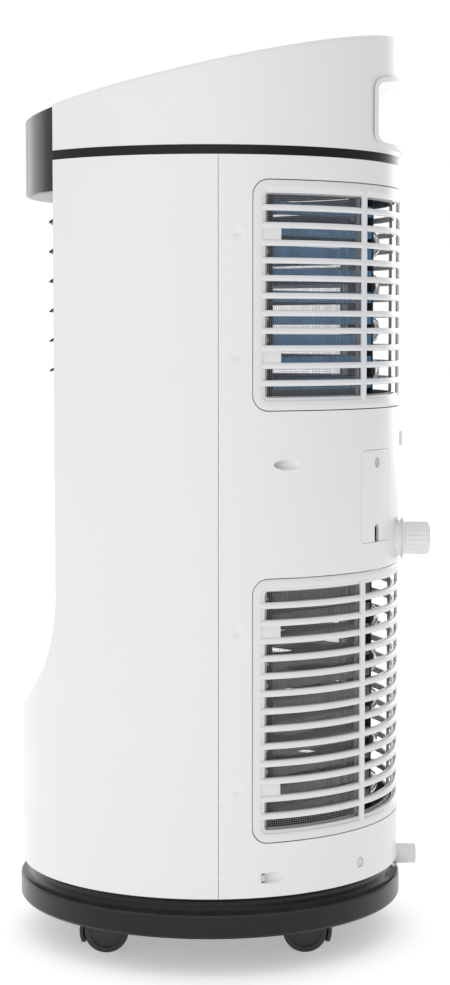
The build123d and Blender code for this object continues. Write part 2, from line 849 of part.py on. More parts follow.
with BuildPart() as control_panel:
    with BuildSketch(panel_plane.offset(-panel_thickness)) as plate:
        Rectangle(panel_width, panel_length)
        fillet(plate.vertices(), panel_corner - panel_gap)
    extrude(amount=panel_thickness)
    with BuildSketch(panel_plane.offset(-2 * panel_thickness)):
        with Locations(*button_spots):
            Circle(button_radius + button_gap)
    extrude(amount=4 * panel_thickness, mode=Mode.SUBTRACT)
finish(control_panel.part, "control_panel")

for name, spot in zip(button_names, button_spots):
    with BuildPart() as button:
        with BuildSketch(panel_plane.offset(-panel_thickness - button_flange - flange_gap)):
            with Locations(spot):
                Circle(button_radius + flange_step)
        extrude(amount=button_flange)
        with BuildSketch(panel_plane.offset(-panel_thickness - key_post)):
            with Locations(spot):
                Circle(button_radius)
        extrude(amount=panel_thickness + key_post + button_proud)
        fillet(button.faces().sort_by(Axis.Z)[-1].edges(), 0.6)
    finish(button.part, f"button_{name}")

# ---- Outlet frame and louvres ----
pivot_y = flat_y + louvre_inset
pivot_heights = [band_bottom - louvre_first - i * louvre_pitch for i in range(louvre_count)]
cheek = outlet_half_width - 0.5
frame_half = cheek - outlet_wall
crank_dy = crank_radius * cos(radians(crank_angle))
crank_dz = crank_radius * sin(radians(crank_angle))
link_inner = frame_half - 1.4 - link_thickness  # the link's face towards the blades
plate_face = link_inner - link_gap
plate_thickness = 1.5
blade_left = plate_face - plate_thickness
blade_right = frame_half - louvre_end_gap
drive_pin = cheek + 7.0

with BuildPart() as outlet_frame:
    with BuildSketch(facing_rear(flat_y)) as face:
        with Locations((0, outlet_centre)):
            Rectangle(2 * cheek, outlet_height - 1)
        fillet(face.vertices(), 5.6)
    extrude(amount=outlet_depth)
    with BuildSketch(facing_rear(flat_y - 1)) as throat:
        with Locations((0, outlet_centre)):
            Rectangle(2 * frame_half, outlet_height - 1 - 2 * outlet_wall)
        fillet(throat.vertices(), 3)
    extrude(amount=2 * outlet_depth, mode=Mode.SUBTRACT)
    with BuildSketch(side_on(0)):
        with Locations(*[(pivot_y, z) for z in pivot_heights]):
            Circle(pin_radius + pin_clearance)
    extrude(amount=2 * cheek, both=True, mode=Mode.SUBTRACT)
finish(outlet_frame.part, "outlet_frame")

for i, z in enumerate(pivot_heights):
    with BuildPart() as louvre:
        with BuildSketch(side_on(-blade_left)):
            with Locations((pivot_y, z)):
                Ellipse(louvre_chord / 2, louvre_thickness / 2, rotation=louvre_tilt)
        extrude(amount=blade_left + blade_right)
        with BuildSketch(side_on(-plate_face)):
            with Locations((pivot_y, z)):
                Circle(pin_radius + 1.4)
            with Locations((pivot_y + crank_dy, z + crank_dz)):
                Circle(crank_pin_radius + 1.2)
            make_hull()
        extrude(amount=plate_thickness)
        with BuildSketch(side_on(-cheek + 0.2)):
            with Locations((pivot_y, z)):
                Circle(pin_radius)
        extrude(amount=cheek - 0.2 - plate_face)
        with BuildSketch(side_on(blade_right)):
            with Locations((pivot_y, z)):
                Circle(pin_radius)
        reach = drive_pin if i == 0 else cheek - 0.2
        extrude(amount=reach - blade_right)
        with BuildSketch(side_on(-link_inner - link_thickness)):
            with Locations((pivot_y + crank_dy, z + crank_dz)):
                Circle(crank_pin_radius)
        extrude(amount=link_thickness + link_gap)
    finish(louvre.part, f"louvre_{i + 1}")

with BuildPart() as louvre_link:
    with BuildSketch(side_on(-link_inner - link_thickness)):
        crank_spots = [(pivot_y + crank_dy, z + crank_dz) for z in pivot_heights]
        with Locations((crank_spots[0][0], (crank_spots[0][1] + crank_spots[-1][1]) / 2)):
            SlotCenterToCenter(crank_spots[0][1] - crank_spots[-1][1], link_width, rotation=90)
        with Locations(*crank_spots):
            Circle(crank_pin_radius + pin_clearance, mode=Mode.SUBTRACT)
    extrude(amount=link_thickness)
finish(louvre_link.part, "louvre_link")

with BuildPart() as swing_motor:
    with BuildSketch(side_on(cheek + 0.5)):
        with Locations((pivot_y + swing_offset, pivot_heights[0])):
            Circle(swing_motor_radius)
        with Locations((pivot_y + swing_offset, pivot_heights[0])):
            SlotOverall(swing_ear[0], swing_ear[1], rotation=90)
    extrude(amount=swing_ear[2])
    with BuildSketch(side_on(cheek + 0.5)):
        with Locations((pivot_y + swing_offset, pivot_heights[0])):
            Circle(swing_motor_radius)
    extrude(amount=swing_motor_length)
    with BuildSketch(side_on(cheek)):
        with Locations((pivot_y, pivot_heights[0])):
            Circle(pin_radius + pin_clearance)
    extrude(amount=drive_pin - cheek + 0.5, mode=Mode.SUBTRACT)
finish(swing_motor.part, "swing_motor")


# ---- Grilles and filters ----
def grille_solid(low, height, rows, pitch, opening, slat, margin, latches):
    """Curved rear grille with its slats, ribs and latch tabs."""
    high = low + height
    open_y = window_front_y + grille_margin
    open_angle = degrees(asin(open_y / body_radius))
    with BuildPart() as grille:
        add(ring(body_radius, body_radius - grille_frame_depth, low + grille_gap, high - grille_gap))
        add(
            window_prism(
                low + grille_gap, high - grille_gap, window_front_y + grille_gap, window_corner - grille_gap
            ),
            mode=Mode.INTERSECT,
        )
        add(window_prism(low + margin, high - margin, open_y, 2), mode=Mode.SUBTRACT)
        for row in range(rows - 1):
            middle = low + margin + opening + slat / 2 + row * pitch
            with BuildSketch(section(open_angle - 2)):
                with Locations((body_radius - slat_depth / 2, middle)):
                    Rectangle(slat_depth, slat)
            revolve(axis=spin_axis, revolution_arc=184 - 2 * open_angle)
        for angle in (90 - rib_angle, 90, 90 + rib_angle):
            with BuildSketch(facing_out(angle, body_radius - rib_depth)):
                with Locations((0, low + height / 2)):
                    Rectangle(rib_width, height - 2 * margin + 2)
            extrude(amount=rib_depth - 0.1)
        for height_of_latch in latches:
            block = section(latch_start - 1)
            with BuildSketch(block):
                with Locations((body_radius - latch_set_back - latch_thickness / 2, height_of_latch)):
                    Rectangle(latch_thickness, opening + 1)
            revolve(axis=spin_axis, revolution_arc=latch_end - latch_start + 1)
            with BuildSketch(section(180 - latch_end)):
                with Locations((body_radius - latch_set_back - latch_thickness / 2, height_of_latch)):
                    Rectangle(latch_thickness, opening + 1)
            revolve(axis=spin_axis, revolution_arc=latch_end - latch_start + 1)
    return grille.part


def filter_solid(low, height, margin):
    """Curved filter: a frame with a thin mesh sheet in its two outer bays."""
    high = low + height - margin / 2
    low = low + margin / 2
    front = window_front_y + grille_margin / 2
    with BuildPart() as screen:
        add(ring(filter_radius, filter_radius - filter_depth, low, high))
        add(half_space(-2 * body_radius, front), mode=Mode.SUBTRACT)
        with BuildPart(mode=Mode.PRIVATE) as bays:
            add(ring(filter_radius + 1, filter_radius - filter_depth - 1, low, high))
            add(
                window_prism(low + filter_border, high - filter_border, front + filter_border, 3),
                mode=Mode.INTERSECT,
            )
            for angle in (90 - rib_angle, 90, 90 + rib_angle):
                with BuildSketch(facing_out(angle, filter_radius - 3 * filter_depth)):
                    with Locations((0, (low + high) / 2)):
                        Rectangle(rib_width / 2, high - low)
                extrude(amount=5 * filter_depth, mode=Mode.SUBTRACT)
            with BuildPart(mode=Mode.SUBTRACT):
                add(ring(filter_radius - 1, filter_radius - 1 - mesh_thickness, low, high))
                with BuildSketch(level(low)):
                    Polygon(*[
                        (4 * body_radius * cos(radians(angle)), 4 * body_radius * sin(radians(angle)))
                        for angle in (90 - rib_angle, 90 + rib_angle)
                    ], (0, 0), align=None)
                extrude(amount=high - low, mode=Mode.SUBTRACT)
        add(bays.part, mode=Mode.SUBTRACT)
    return screen.part


finish(
    grille_solid(
        upper_bottom,
        upper_height,
        upper_rows,
        upper_pitch,
        slat_opening,
        slat_height,
        upper_margin,
        upper_latches,
    ),
    "upper_grille",
)
finish(
    grille_solid(
        lower_bottom,
        lower_height,
        lower_rows,
        lower_pitch,
        lower_slat_opening,
        lower_slat_height,
        lower_margin,
        lower_latches,
    ),
    "lower_grille",
)
finish(filter_solid(upper_bottom, upper_height, upper_margin), "upper_filter")
finish(filter_solid(lower_bottom, lower_height, lower_margin), "lower_filter")


# ---- Coils ----
def coil_pieces(low, high):
    """A pair of finned slabs in a V, and their tubes with the U-bends."""
    corner_x = sqrt(coil_reach**2 - coil_front_y**2) - coil_thickness / 2
    bend_side = coil_rear_x + tube_row_offset + tube_radius
    rear_corner = Vector(coil_rear_x, sqrt(coil_reach**2 - bend_side**2) - tube_row_offset)
    front_corner = Vector(corner_x, coil_front_y)
    along = (rear_corner - front_corner).normalized()
    length = (rear_corner - front_corner).length - 2 * (tube_pitch / 2 + tube_radius)
    middle = (rear_corner + front_corner) * 0.5
    levels = int((high - low - tube_pitch / 2) / tube_pitch)
    start = (low + high) / 2 - (levels - 1) * tube_pitch / 2
    with BuildPart() as fins:
        with BuildPart(mode=Mode.PRIVATE) as tubes:
            for side in (1, -1):
                run = Vector(side * along.X, along.Y)
                centre = Vector(side * middle.X, middle.Y + axis_y)
                end_plane = Plane(centre - run * (length / 2), x_dir=(-run.Y, run.X, 0), z_dir=run)
                for row in (-1, 1):
                    for k in range(levels):
                        with BuildSketch(end_plane):
                            with Locations((row * tube_row_offset, start + k * tube_pitch)):
                                Circle(tube_radius)
                        extrude(amount=length)
                    for k in range(levels - 1):
                        outward = 1 if k % 2 == 0 else -1
                        bend_height = start + (k + 0.5) * tube_pitch
                        base = end_plane.origin + (run * length if outward == 1 else Vector(0, 0, 0))
                        offset_x = end_plane.x_dir * (row * tube_row_offset)
                        hub = base + offset_x + Vector(0, 0, bend_height)
                        foot = hub - Vector(0, 0, tube_pitch / 2)
                        first = Plane(foot, x_dir=end_plane.x_dir, z_dir=run * outward)
                        with BuildSketch(first):
                            Circle(tube_radius)
                        revolve(axis=Axis(hub, end_plane.x_dir * -outward), revolution_arc=180)
        for side in (1, -1):
            run = Vector(side * along.X, along.Y)
            centre = Vector(side * middle.X, middle.Y + axis_y)
            slab_plane = Plane(centre - run * (length / 2), x_dir=(-run.Y, run.X, 0), z_dir=run)
            rows = [(row * tube_row_offset, start + k * tube_pitch) for row in (-1, 1) for k in range(levels)]
            with BuildSketch(slab_plane):
                with Locations(*[(0, start + k * tube_pitch) for k in range(levels)]):
                    Rectangle(coil_thickness, fin_height)
            extrude(amount=length)
            for stand in (0, length - coil_plate):
                with BuildSketch(slab_plane.offset(stand)):
                    with Locations((0, (low + high) / 2)):
                        Rectangle(coil_thickness - 2, high - low)
                extrude(amount=coil_plate)
            with BuildSketch(slab_plane.offset(-1)):
                with Locations(*rows):
                    Circle(tube_radius + tube_clearance)
            extrude(amount=length + 2, mode=Mode.SUBTRACT)
    return fins.part, tubes.part


for name, low, high in (
    ("evaporator", upper_bottom + coil_end_gap, upper_top - coil_end_gap),
    ("condenser", lower_bottom + coil_end_gap, lower_bottom + lower_height - coil_end_gap),
):
    fin_block, tube_run = coil_pieces(low, high)
    finish(fin_block, f"{name}_fins")
    finish(tube_run, f"{name}_tubes")

# ---- Mid drain ----
riser_y = body_radius - 3 * drain_tube_radius
riser_radius = drain_tube_radius - 1
flange_y = sqrt(body_radius**2 - (abs(drain_x) + drain_flange_radius) ** 2)
spout_end = body_radius + drain_cap_length - 3

with BuildPart() as drain_spout:
    with BuildSketch(facing_rear(riser_y - drain_tube_radius)):
        with Locations((-drain_x, drain_height)):
            Circle(drain_tube_radius)
    extrude(amount=spout_end - riser_y + drain_tube_radius)
    with BuildSketch(facing_rear(flange_y)):
        with Locations((-drain_x, drain_height)):
            Circle(drain_flange_radius - 2.5)
    extrude(amount=body_radius - flange_y)
    with BuildSketch(facing_rear(body_radius)):
        with Locations((-drain_x, drain_height)):
            Circle(drain_flange_radius)
    extrude(amount=drain_flange_proud)
    with BuildSketch(level(drain_height)):
        with Locations((drain_x, riser_y)):
            Circle(riser_radius)
    extrude(amount=deck_bottom - drain_height)
    with BuildSketch(facing_rear(riser_y - drain_tube_radius + liner_wall)):
        with Locations((-drain_x, drain_height)):
            Circle(drain_bore)
    extrude(amount=3 * body_radius, mode=Mode.SUBTRACT)
    with BuildSketch(level(drain_height)):
        with Locations((drain_x, riser_y)):
            Circle(drain_bore - 1)
    extrude(amount=deck_top, mode=Mode.SUBTRACT)
finish(drain_spout.part, "drain_spout")

with BuildPart() as drain_cap:
    cap_base = body_radius + drain_flange_proud + 0.5
    with BuildSketch(facing_rear(cap_base)):
        with Locations((-drain_x, drain_height)):
            Circle(drain_cap_radius)
    extrude(amount=drain_cap_length)
    chamfer(drain_cap.faces().sort_by(Axis.Y)[-1].edges(), 2.0)
    with BuildSketch(facing_rear(cap_base + 3)):
        with Locations((-drain_x, drain_height)):
            with PolarLocations(drain_cap_radius + 0.6, cap_flutes):
                Circle(flute_radius)
    extrude(amount=drain_cap_length, mode=Mode.SUBTRACT)
    with BuildSketch(facing_rear(cap_base)):
        with Locations((-drain_x, drain_height)):
            Circle(drain_tube_radius + 0.3)
    extrude(amount=drain_cap_length - 2.5, mode=Mode.SUBTRACT)
finish(drain_cap.part, "drain_cap")

# ---- Mid deck ----
with BuildPart() as mid_deck:
    add(body_solid(shell_wall + deck_gap, deck_bottom, deck_top))
    with BuildSketch(level(deck_bottom)):
        Circle(coil_reach - 2)
        Circle(coil_reach - 4, mode=Mode.SUBTRACT)
        with Locations((0, -body_radius)):
            Rectangle(2 * body_radius, 2 * body_radius + 30, mode=Mode.SUBTRACT)
    extrude(amount=deck_lip)
    with BuildSketch(level(deck_top - 2 * deck_thickness)):
        with Locations((drain_x, riser_y)):
            Circle(drain_bore)
        with Locations((compressor_x, pipe_y)):
            SlotOverall(pipe_pitch + 5 * pipe_radius, 4 * pipe_radius)
    extrude(amount=4 * deck_thickness, mode=Mode.SUBTRACT)
finish(mid_deck.part, "mid_deck")


# ---- Fans ----
def fan_wheel(centre, radius, width):
    """Centrifugal wheel on the X axis with its shaft."""
    x, y, z = centre
    with BuildPart() as wheel:
        with BuildSketch(side_on(x - width / 2)):
            with Locations((y, z)):
                Circle(radius)
                Circle(radius * fan_inlet_share + 2, mode=Mode.SUBTRACT)
        extrude(amount=fan_ring)
        with BuildSketch(side_on(x + width / 2 - fan_ring)):
            with Locations((y, z)):
                Circle(radius)
                Circle(radius * fan_inlet_share + 2, mode=Mode.SUBTRACT)
        extrude(amount=fan_ring)
        with BuildSketch(side_on(x)):
            with Locations((y, z)):
                Circle(radius)
        extrude(amount=fan_ring / 2, both=True)
        with BuildSketch(side_on(x - width / 2)):
            with Locations((y, z)):
                with PolarLocations(radius * 0.9, fan_blades):
                    Rectangle(radius * 0.16, blade_thickness, rotation=blade_pitch)
        extrude(amount=width)
        with BuildSketch(side_on(x - width / 4)):
            with Locations((y, z)):
                Circle(2.5 * fan_shaft_radius)
        extrude(amount=width / 2)
        with BuildSketch(side_on(x)):
            with Locations((y, z)):
                Circle(fan_shaft_radius)
        extrude(amount=width / 2 + shaft_reach)
    return wheel.part


def fan_motor(centre, width, face_x, inlet):
    """Motor in the inlet on the +X side, on a three-arm mount against the scroll."""
    x, y, z = centre
    with BuildPart() as motor:
        start = x + width / 2 + motor_gap
        with BuildSketch(side_on(start)):
            with Locations((y, z)):
                Circle(motor_radius)
        extrude(amount=motor_length)
        with BuildSketch(side_on(face_x)):
            with Locations((y, z)):
                Circle(inlet + mount_rim[1])
                Circle(inlet + mount_rim[0], mode=Mode.SUBTRACT)
                with PolarLocations(motor_radius / 2 + inlet / 2, 3):
                    Rectangle(inlet - motor_radius + mount_rim[1] + 4, mount_arm)
        extrude(amount=mount_thickness)
        with BuildSketch(side_on(start - 1)):
            with Locations((y, z)):
                Circle(fan_shaft_radius + running_clearance)
        extrude(amount=shaft_reach - 2, mode=Mode.SUBTRACT)
    return motor.part


def scroll(outline, core, x, width, centre, inlet):
    """Volute housing from its side outline, hollow, with an inlet each side."""
    with BuildPart() as housing:
        extrude(outline, amount=width / 2, both=True)
        extrude(core, amount=width / 2 - duct_wall, both=True, mode=Mode.SUBTRACT)
        with BuildSketch(side_on(x - width)):
            with Locations(centre):
                Circle(inlet)
        extrude(amount=2 * width, mode=Mode.SUBTRACT)
    return housing.part


upper_fan_height = outlet_centre
throat_y = flat_y + outlet_depth


def upper_outline(inset):
    with BuildSketch(side_on(0)) as outline:
        with Locations((upper_fan_y, upper_fan_height)):
            Circle(upper_volute_radius - inset)
        with Locations((throat_y + throat_gap + 1 - inset, upper_fan_height)):
            Rectangle(2, outlet_height - 2 * outlet_wall - 2 * inset)
        make_hull()
    return outline.sketch


upper_centre = (0, upper_fan_y, upper_fan_height)
upper_inlet = upper_fan_radius * fan_inlet_share
finish(
    scroll(upper_outline(0), upper_outline(duct_wall), 0, upper_volute_width, upper_centre[1:], upper_inlet),
    "blower_scroll",
)
finish(fan_wheel(upper_centre, upper_fan_radius, upper_fan_width), "blower_wheel")
finish(fan_motor(upper_centre, upper_fan_width, upper_volute_width / 2, upper_inlet), "blower_motor")


def lower_outline(inset):
    with BuildSketch(side_on(lower_fan_x)) as outline:
        with Locations((lower_fan_y, lower_fan_height)):
            Circle(lower_volute_radius - inset)
        with Locations((plenum_front_y + plenum_depth / 2, plenum_bottom - 1 + inset)):
            Rectangle(plenum_depth - 2 * inset, 2)
        make_hull()
    return outline.sketch


lower_centre = (lower_fan_x, lower_fan_y, lower_fan_height)
lower_inlet = lower_fan_radius * fan_inlet_share
plenum_left = outlet_x - collar_radius - 2 * collar_flange
plenum_right = lower_fan_x + lower_volute_width / 2
plenum_top = deck_bottom - 3

with BuildPart() as condenser_scroll:
    add(
        scroll(
            lower_outline(0),
            lower_outline(duct_wall),
            lower_fan_x,
            lower_volute_width,
            lower_centre[1:],
            lower_inlet,
        )
    )
    with BuildSketch(level(plenum_bottom)):
        with Locations((plenum_left, plenum_front_y)):
            Rectangle(plenum_right - plenum_left, plenum_depth, align=(Align.MIN, Align.MIN))
    extrude(amount=plenum_top - plenum_bottom)
    with BuildSketch(level(plenum_bottom + duct_wall)):
        with Locations((plenum_left + duct_wall, plenum_front_y + duct_wall)):
            Rectangle(
                plenum_right - plenum_left - 2 * duct_wall,
                plenum_depth - 2 * duct_wall,
                align=(Align.MIN, Align.MIN),
            )
    extrude(amount=plenum_top - plenum_bottom - 2 * duct_wall, mode=Mode.SUBTRACT)
    with BuildSketch(level(plenum_bottom - 3)):
        with Locations((lower_fan_x, plenum_front_y + plenum_depth / 2)):
            Rectangle(lower_volute_width - 2 * duct_wall, plenum_depth - 4 * duct_wall)
    extrude(amount=8, mode=Mode.SUBTRACT)
    with BuildSketch(facing_rear(plenum_front_y + plenum_depth - 2 * duct_wall)):
        with Locations((-outlet_x, outlet_z)):
            Circle(collar_radius - collar_wall)
    extrude(amount=4 * duct_wall, mode=Mode.SUBTRACT)
finish(condenser_scroll.part, "condenser_scroll")
finish(fan_wheel(lower_centre, lower_fan_radius, lower_fan_width), "condenser_fan")
finish(
    fan_motor(lower_centre, lower_fan_width, lower_fan_x + lower_volute_width / 2, lower_inlet),
    "condenser_motor",
)

# ---- Exhaust collar ----
collar_start = plenum_front_y + plenum_depth
collar_mouth = body_radius - collar_set_back
with BuildPart() as exhaust_collar:
    with BuildSketch(facing_rear(collar_start)):
        with Locations((-outlet_x, outlet_z)):
            Circle(collar_radius)
    extrude(amount=collar_mouth - collar_start)
    with BuildSketch(facing_rear(collar_start)):
        with Locations((-outlet_x, outlet_z)):
            Circle(collar_radius + collar_flange)
    extrude(amount=3)
    with BuildSketch(facing_rear(collar_start - 1)):
        with Locations((-outlet_x, outlet_z)):
            Circle(collar_radius - collar_wall)
    extrude(amount=body_radius, mode=Mode.SUBTRACT)
finish(exhaust_collar.part, "exhaust_collar")

# ---- Compressor, feet, pipes and control box ----
tray_deck = tray_floor + tray_wall
can_bottom = tray_deck + can_lift
accumulator_reach = compressor_radius + accumulator_gap + accumulator_radius
with BuildPart() as compressor:
    with BuildSketch(level(can_bottom + plate_thickness - 1)):
        with Locations((compressor_x, compressor_y)):
            Circle(compressor_radius)
    extrude(amount=compressor_height)
    fillet(compressor.edges().filter_by(GeomType.CIRCLE), can_round)
    with BuildSketch(level(can_bottom)):
        with Locations((compressor_x, compressor_y)):
            with PolarLocations(foot_circle, 3, start_angle=foot_start):
                Circle(compressor_foot + 2)
        make_hull()
        with Locations((compressor_x, compressor_y)):
            with PolarLocations(foot_circle, 3, start_angle=foot_start):
                Circle(compressor_foot - foot_step + running_clearance, mode=Mode.SUBTRACT)
    extrude(amount=plate_thickness)
    with BuildSketch(level(can_bottom + accumulator_rise)):
        with Locations((compressor_x, compressor_y)):
            with PolarLocations(accumulator_reach, 1, start_angle=accumulator_side):
                Circle(accumulator_radius)
    extrude(amount=accumulator_height)
    with BuildSketch(level(can_bottom + accumulator_rise + accumulator_height / 2)):
        with Locations((compressor_x, compressor_y)):
            with PolarLocations(compressor_radius, 1, start_angle=accumulator_side):
                Rectangle(6 * accumulator_gap, accumulator_radius)
    extrude(amount=2 * plate_thickness)
finish(compressor.part, "compressor")

with BuildPart() as compressor_feet:
    with BuildSketch(level(tray_deck)):
        with Locations((compressor_x, compressor_y)):
            with PolarLocations(foot_circle, 3, start_angle=foot_start):
                Circle(compressor_foot)
    extrude(amount=can_lift)
    with BuildSketch(level(can_bottom)):
        with Locations((compressor_x, compressor_y)):
            with PolarLocations(foot_circle, 3, start_angle=foot_start):
                Circle(compressor_foot - foot_step)
    extrude(amount=plate_thickness + 4)
finish(compressor_feet.part, "compressor_feet")

can_top = can_bottom + plate_thickness - 1 + compressor_height
pipe_start_y = compressor_y + compressor_radius / 2
with BuildPart() as pipework:
    for offset_x in (-pipe_pitch / 2, pipe_pitch / 2):
        start = (compressor_x + offset_x, axis_y + pipe_start_y, can_top)
        with BuildLine():
            FilletPolyline(
                start,
                (start[0], start[1], can_top + 60),
                (start[0], axis_y + pipe_y, can_top + 90),
                (start[0], axis_y + pipe_y, deck_top + pipe_rise),
                radius=3 * pipe_radius,
            )
        with BuildSketch(Plane(start)):
            Circle(pipe_radius)
        sweep()
finish(pipework.part, "pipework")

with BuildPart() as control_box:
    with BuildSketch(level(box_bottom)) as base:
        with Locations((box_x, box_y)):
            Rectangle(box_size[0], box_size[1])
        fillet(base.vertices(), box_corner)
    extrude(amount=box_size[2])
    with BuildSketch(level(box_bottom + box_size[2])):
        with Locations((box_x, box_y)):
            Circle(capacitor_radius)
    extrude(amount=capacitor_height)
finish(control_box.part, "control_box")
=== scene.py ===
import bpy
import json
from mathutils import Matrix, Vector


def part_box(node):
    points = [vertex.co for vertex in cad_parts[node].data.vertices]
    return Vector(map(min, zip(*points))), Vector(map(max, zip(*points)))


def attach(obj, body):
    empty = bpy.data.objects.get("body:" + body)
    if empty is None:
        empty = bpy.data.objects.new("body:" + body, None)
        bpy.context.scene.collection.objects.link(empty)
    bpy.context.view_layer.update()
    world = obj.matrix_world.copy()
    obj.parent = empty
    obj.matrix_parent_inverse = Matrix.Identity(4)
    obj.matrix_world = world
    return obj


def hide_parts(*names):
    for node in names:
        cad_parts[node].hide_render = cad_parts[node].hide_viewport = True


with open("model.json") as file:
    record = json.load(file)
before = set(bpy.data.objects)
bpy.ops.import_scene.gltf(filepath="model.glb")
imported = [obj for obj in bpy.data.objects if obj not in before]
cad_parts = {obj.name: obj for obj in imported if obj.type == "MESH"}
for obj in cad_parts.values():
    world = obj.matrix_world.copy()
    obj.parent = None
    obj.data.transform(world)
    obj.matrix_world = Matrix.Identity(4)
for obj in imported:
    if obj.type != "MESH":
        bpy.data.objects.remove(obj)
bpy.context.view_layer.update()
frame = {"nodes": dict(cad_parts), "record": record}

import json
import math

import bmesh
import bpy
from mathutils import Matrix, Vector

nodes = frame["nodes"]
mm = 0.001

# where the upright body axis stands, and the main heights, all read from the frame
bandLow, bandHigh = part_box("trim_band")
bandRadius = (bandHigh.x - bandLow.x) / 2
axisY = bandHigh.y - bandRadius
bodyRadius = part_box("rear_shell")[1].x
axisPoint = Vector((0, axisY, 0))


# camera, light and floor
cameraSet = {
    "distance": 1.9639,  # from the body axis, on the +X side
    "height": 0.5565,
    "pitch": 4.366,  # looking down, degrees
    "yaw": 0.407,  # turned towards the rear, degrees
    "lens": 77.35,
}


def placeCamera(look):
    data = bpy.data.cameras.new("camera")
    data.lens = look["lens"]
    data.sensor_width = 36
    data.clip_start = 0.05
    data.clip_end = 50
    cam = bpy.data.objects.new("camera", data)
    bpy.context.scene.collection.objects.link(cam)
    cam.location = (look["distance"], axisY, look["height"])
    pitch, yaw = math.radians(look["pitch"]), math.radians(look["yaw"])
    aim = Vector((-math.cos(yaw) * math.cos(pitch), math.sin(yaw) * math.cos(pitch), -math.sin(pitch)))
    cam.rotation_mode = "QUATERNION"
    cam.rotation_quaternion = aim.to_track_quat("-Z", "Y")
    bpy.context.scene.camera = cam


studio = {
    "sky": 1.24,  # brightness of the white room
    "backdrop": 1.02,
    # direction, where the change starts and is full (as a cosine), and how much is taken away
    "lobes": {
        "dimRear": ((0.15, 0.98, 0.0), 0.25, 0.95, 0.68),
        "dimFront": ((-0.10, -1.0, 0.0), 0.45, 1.0, 0.30),
        "dimBelow": ((0.0, 0.0, -1.0), 0.0, 0.9, 0.25),
        "rearRimLight": ((-0.92, 0.38, 0.0), 0.88, 0.98, -1.7),
        "headRimLight": ((-0.75, -0.66, 0.1), 0.93, 0.985, -0.9),
    },
}


def lightStudio(look):
    bpy.context.scene.view_settings.view_transform = "Standard"
    world = bpy.data.worlds.new("studio")
    bpy.context.scene.world = world
    world.use_nodes = True
    tree = world.node_tree
    tree.nodes.clear()
    out = tree.nodes.new("ShaderNodeOutputWorld")
    room = tree.nodes.new("ShaderNodeBackground")
    plain = tree.nodes.new("ShaderNodeBackground")
    plain.inputs["Color"].default_value = (1, 1, 1, 1)
    plain.inputs["Strength"].default_value = look["backdrop"]
    path = tree.nodes.new("ShaderNodeLightPath")
    mix = tree.nodes.new("ShaderNodeMixShader")
    where = tree.nodes.new("ShaderNodeTexCoord")
    total = None
    for direction, low, high, depth in look["lobes"].values():
        facing = tree.nodes.new("ShaderNodeVectorMath")
        facing.operation = "DOT_PRODUCT"
        facing.inputs[1].default_value = Vector(direction).normalized()
        tree.links.new(where.outputs["Generated"], facing.inputs[0])
        ramp = tree.nodes.new("ShaderNodeMapRange")
        ramp.interpolation_type = "SMOOTHSTEP"
        ramp.inputs["From Min"].default_value = low
        ramp.inputs["From Max"].default_value = high
        ramp.inputs["To Min"].default_value = 1.0
        ramp.inputs["To Max"].default_value = 1.0 - depth
        tree.links.new(facing.outputs["Value"], ramp.inputs["Value"])
        if total is None:
            total = ramp.outputs["Result"]
        else:
            times = tree.nodes.new("ShaderNodeMath")
            times.operation = "MULTIPLY"
            tree.links.new(total, times.inputs[0])
            tree.links.new(ramp.outputs["Result"], times.inputs[1])
            total = times.outputs["Value"]
    gain = tree.nodes.new("ShaderNodeMath")
    gain.operation = "MULTIPLY"
    gain.inputs[1].default_value = look["sky"]
    tree.links.new(total, gain.inputs[0])
    tree.links.new(gain.outputs["Value"], room.inputs["Strength"])
    tree.links.new(path.outputs["Is Camera Ray"], mix.inputs["Fac"])
    tree.links.new(room.outputs["Background"], mix.inputs[1])
    tree.links.new(plain.outputs["Background"], mix.inputs[2])
    tree.links.new(mix.outputs["Shader"], out.inputs["Surface"])


floorLook = {
    "halfSize": 6.0,
    "tone": (0.92, 0.92, 0.92),
    "rough": 0.9,
    "glow": 0.38,  # keeps the floor white and the shadow faint
}


def paleFloor(look):
    bm = bmesh.new()
    bmesh.ops.create_grid(bm, x_segments=1, y_segments=1, size=look["halfSize"])
    mesh = bpy.data.meshes.new("floor")
    bm.to_mesh(mesh)
    bm.free()
    floor = bpy.data.objects.new("floor", mesh)
    bpy.context.scene.collection.objects.link(floor)
    material = bpy.data.materials.new("paleFloor")
    material.use_nodes = True
    shader = material.node_tree.nodes["Principled BSDF"]
    shader.inputs["Base Color"].default_value = (*look["tone"], 1)
    shader.inputs["Roughness"].default_value = look["rough"]
    shader.inputs["Emission Color"].default_value = (1, 1, 1, 1)
    shader.inputs["Emission Strength"].default_value = look["glow"]
    mesh.materials.append(material)


placeCamera(cameraSet)
lightStudio(studio)
paleFloor(floorLook)
print("studio ready")


# shared effects
def newGroup(name, inputs, outputs):
    group = bpy.data.node_groups.new(name, "ShaderNodeTree")
    for label, kind, value in inputs:
        socket = group.interface.new_socket(label, in_out="INPUT", socket_type=kind)
        if value is not None:
            socket.default_value = value
    for label, kind in outputs:
        group.interface.new_socket(label, in_out="OUTPUT", socket_type=kind)
    return group, group.nodes.new("NodeGroupInput"), group.nodes.new("NodeGroupOutput")


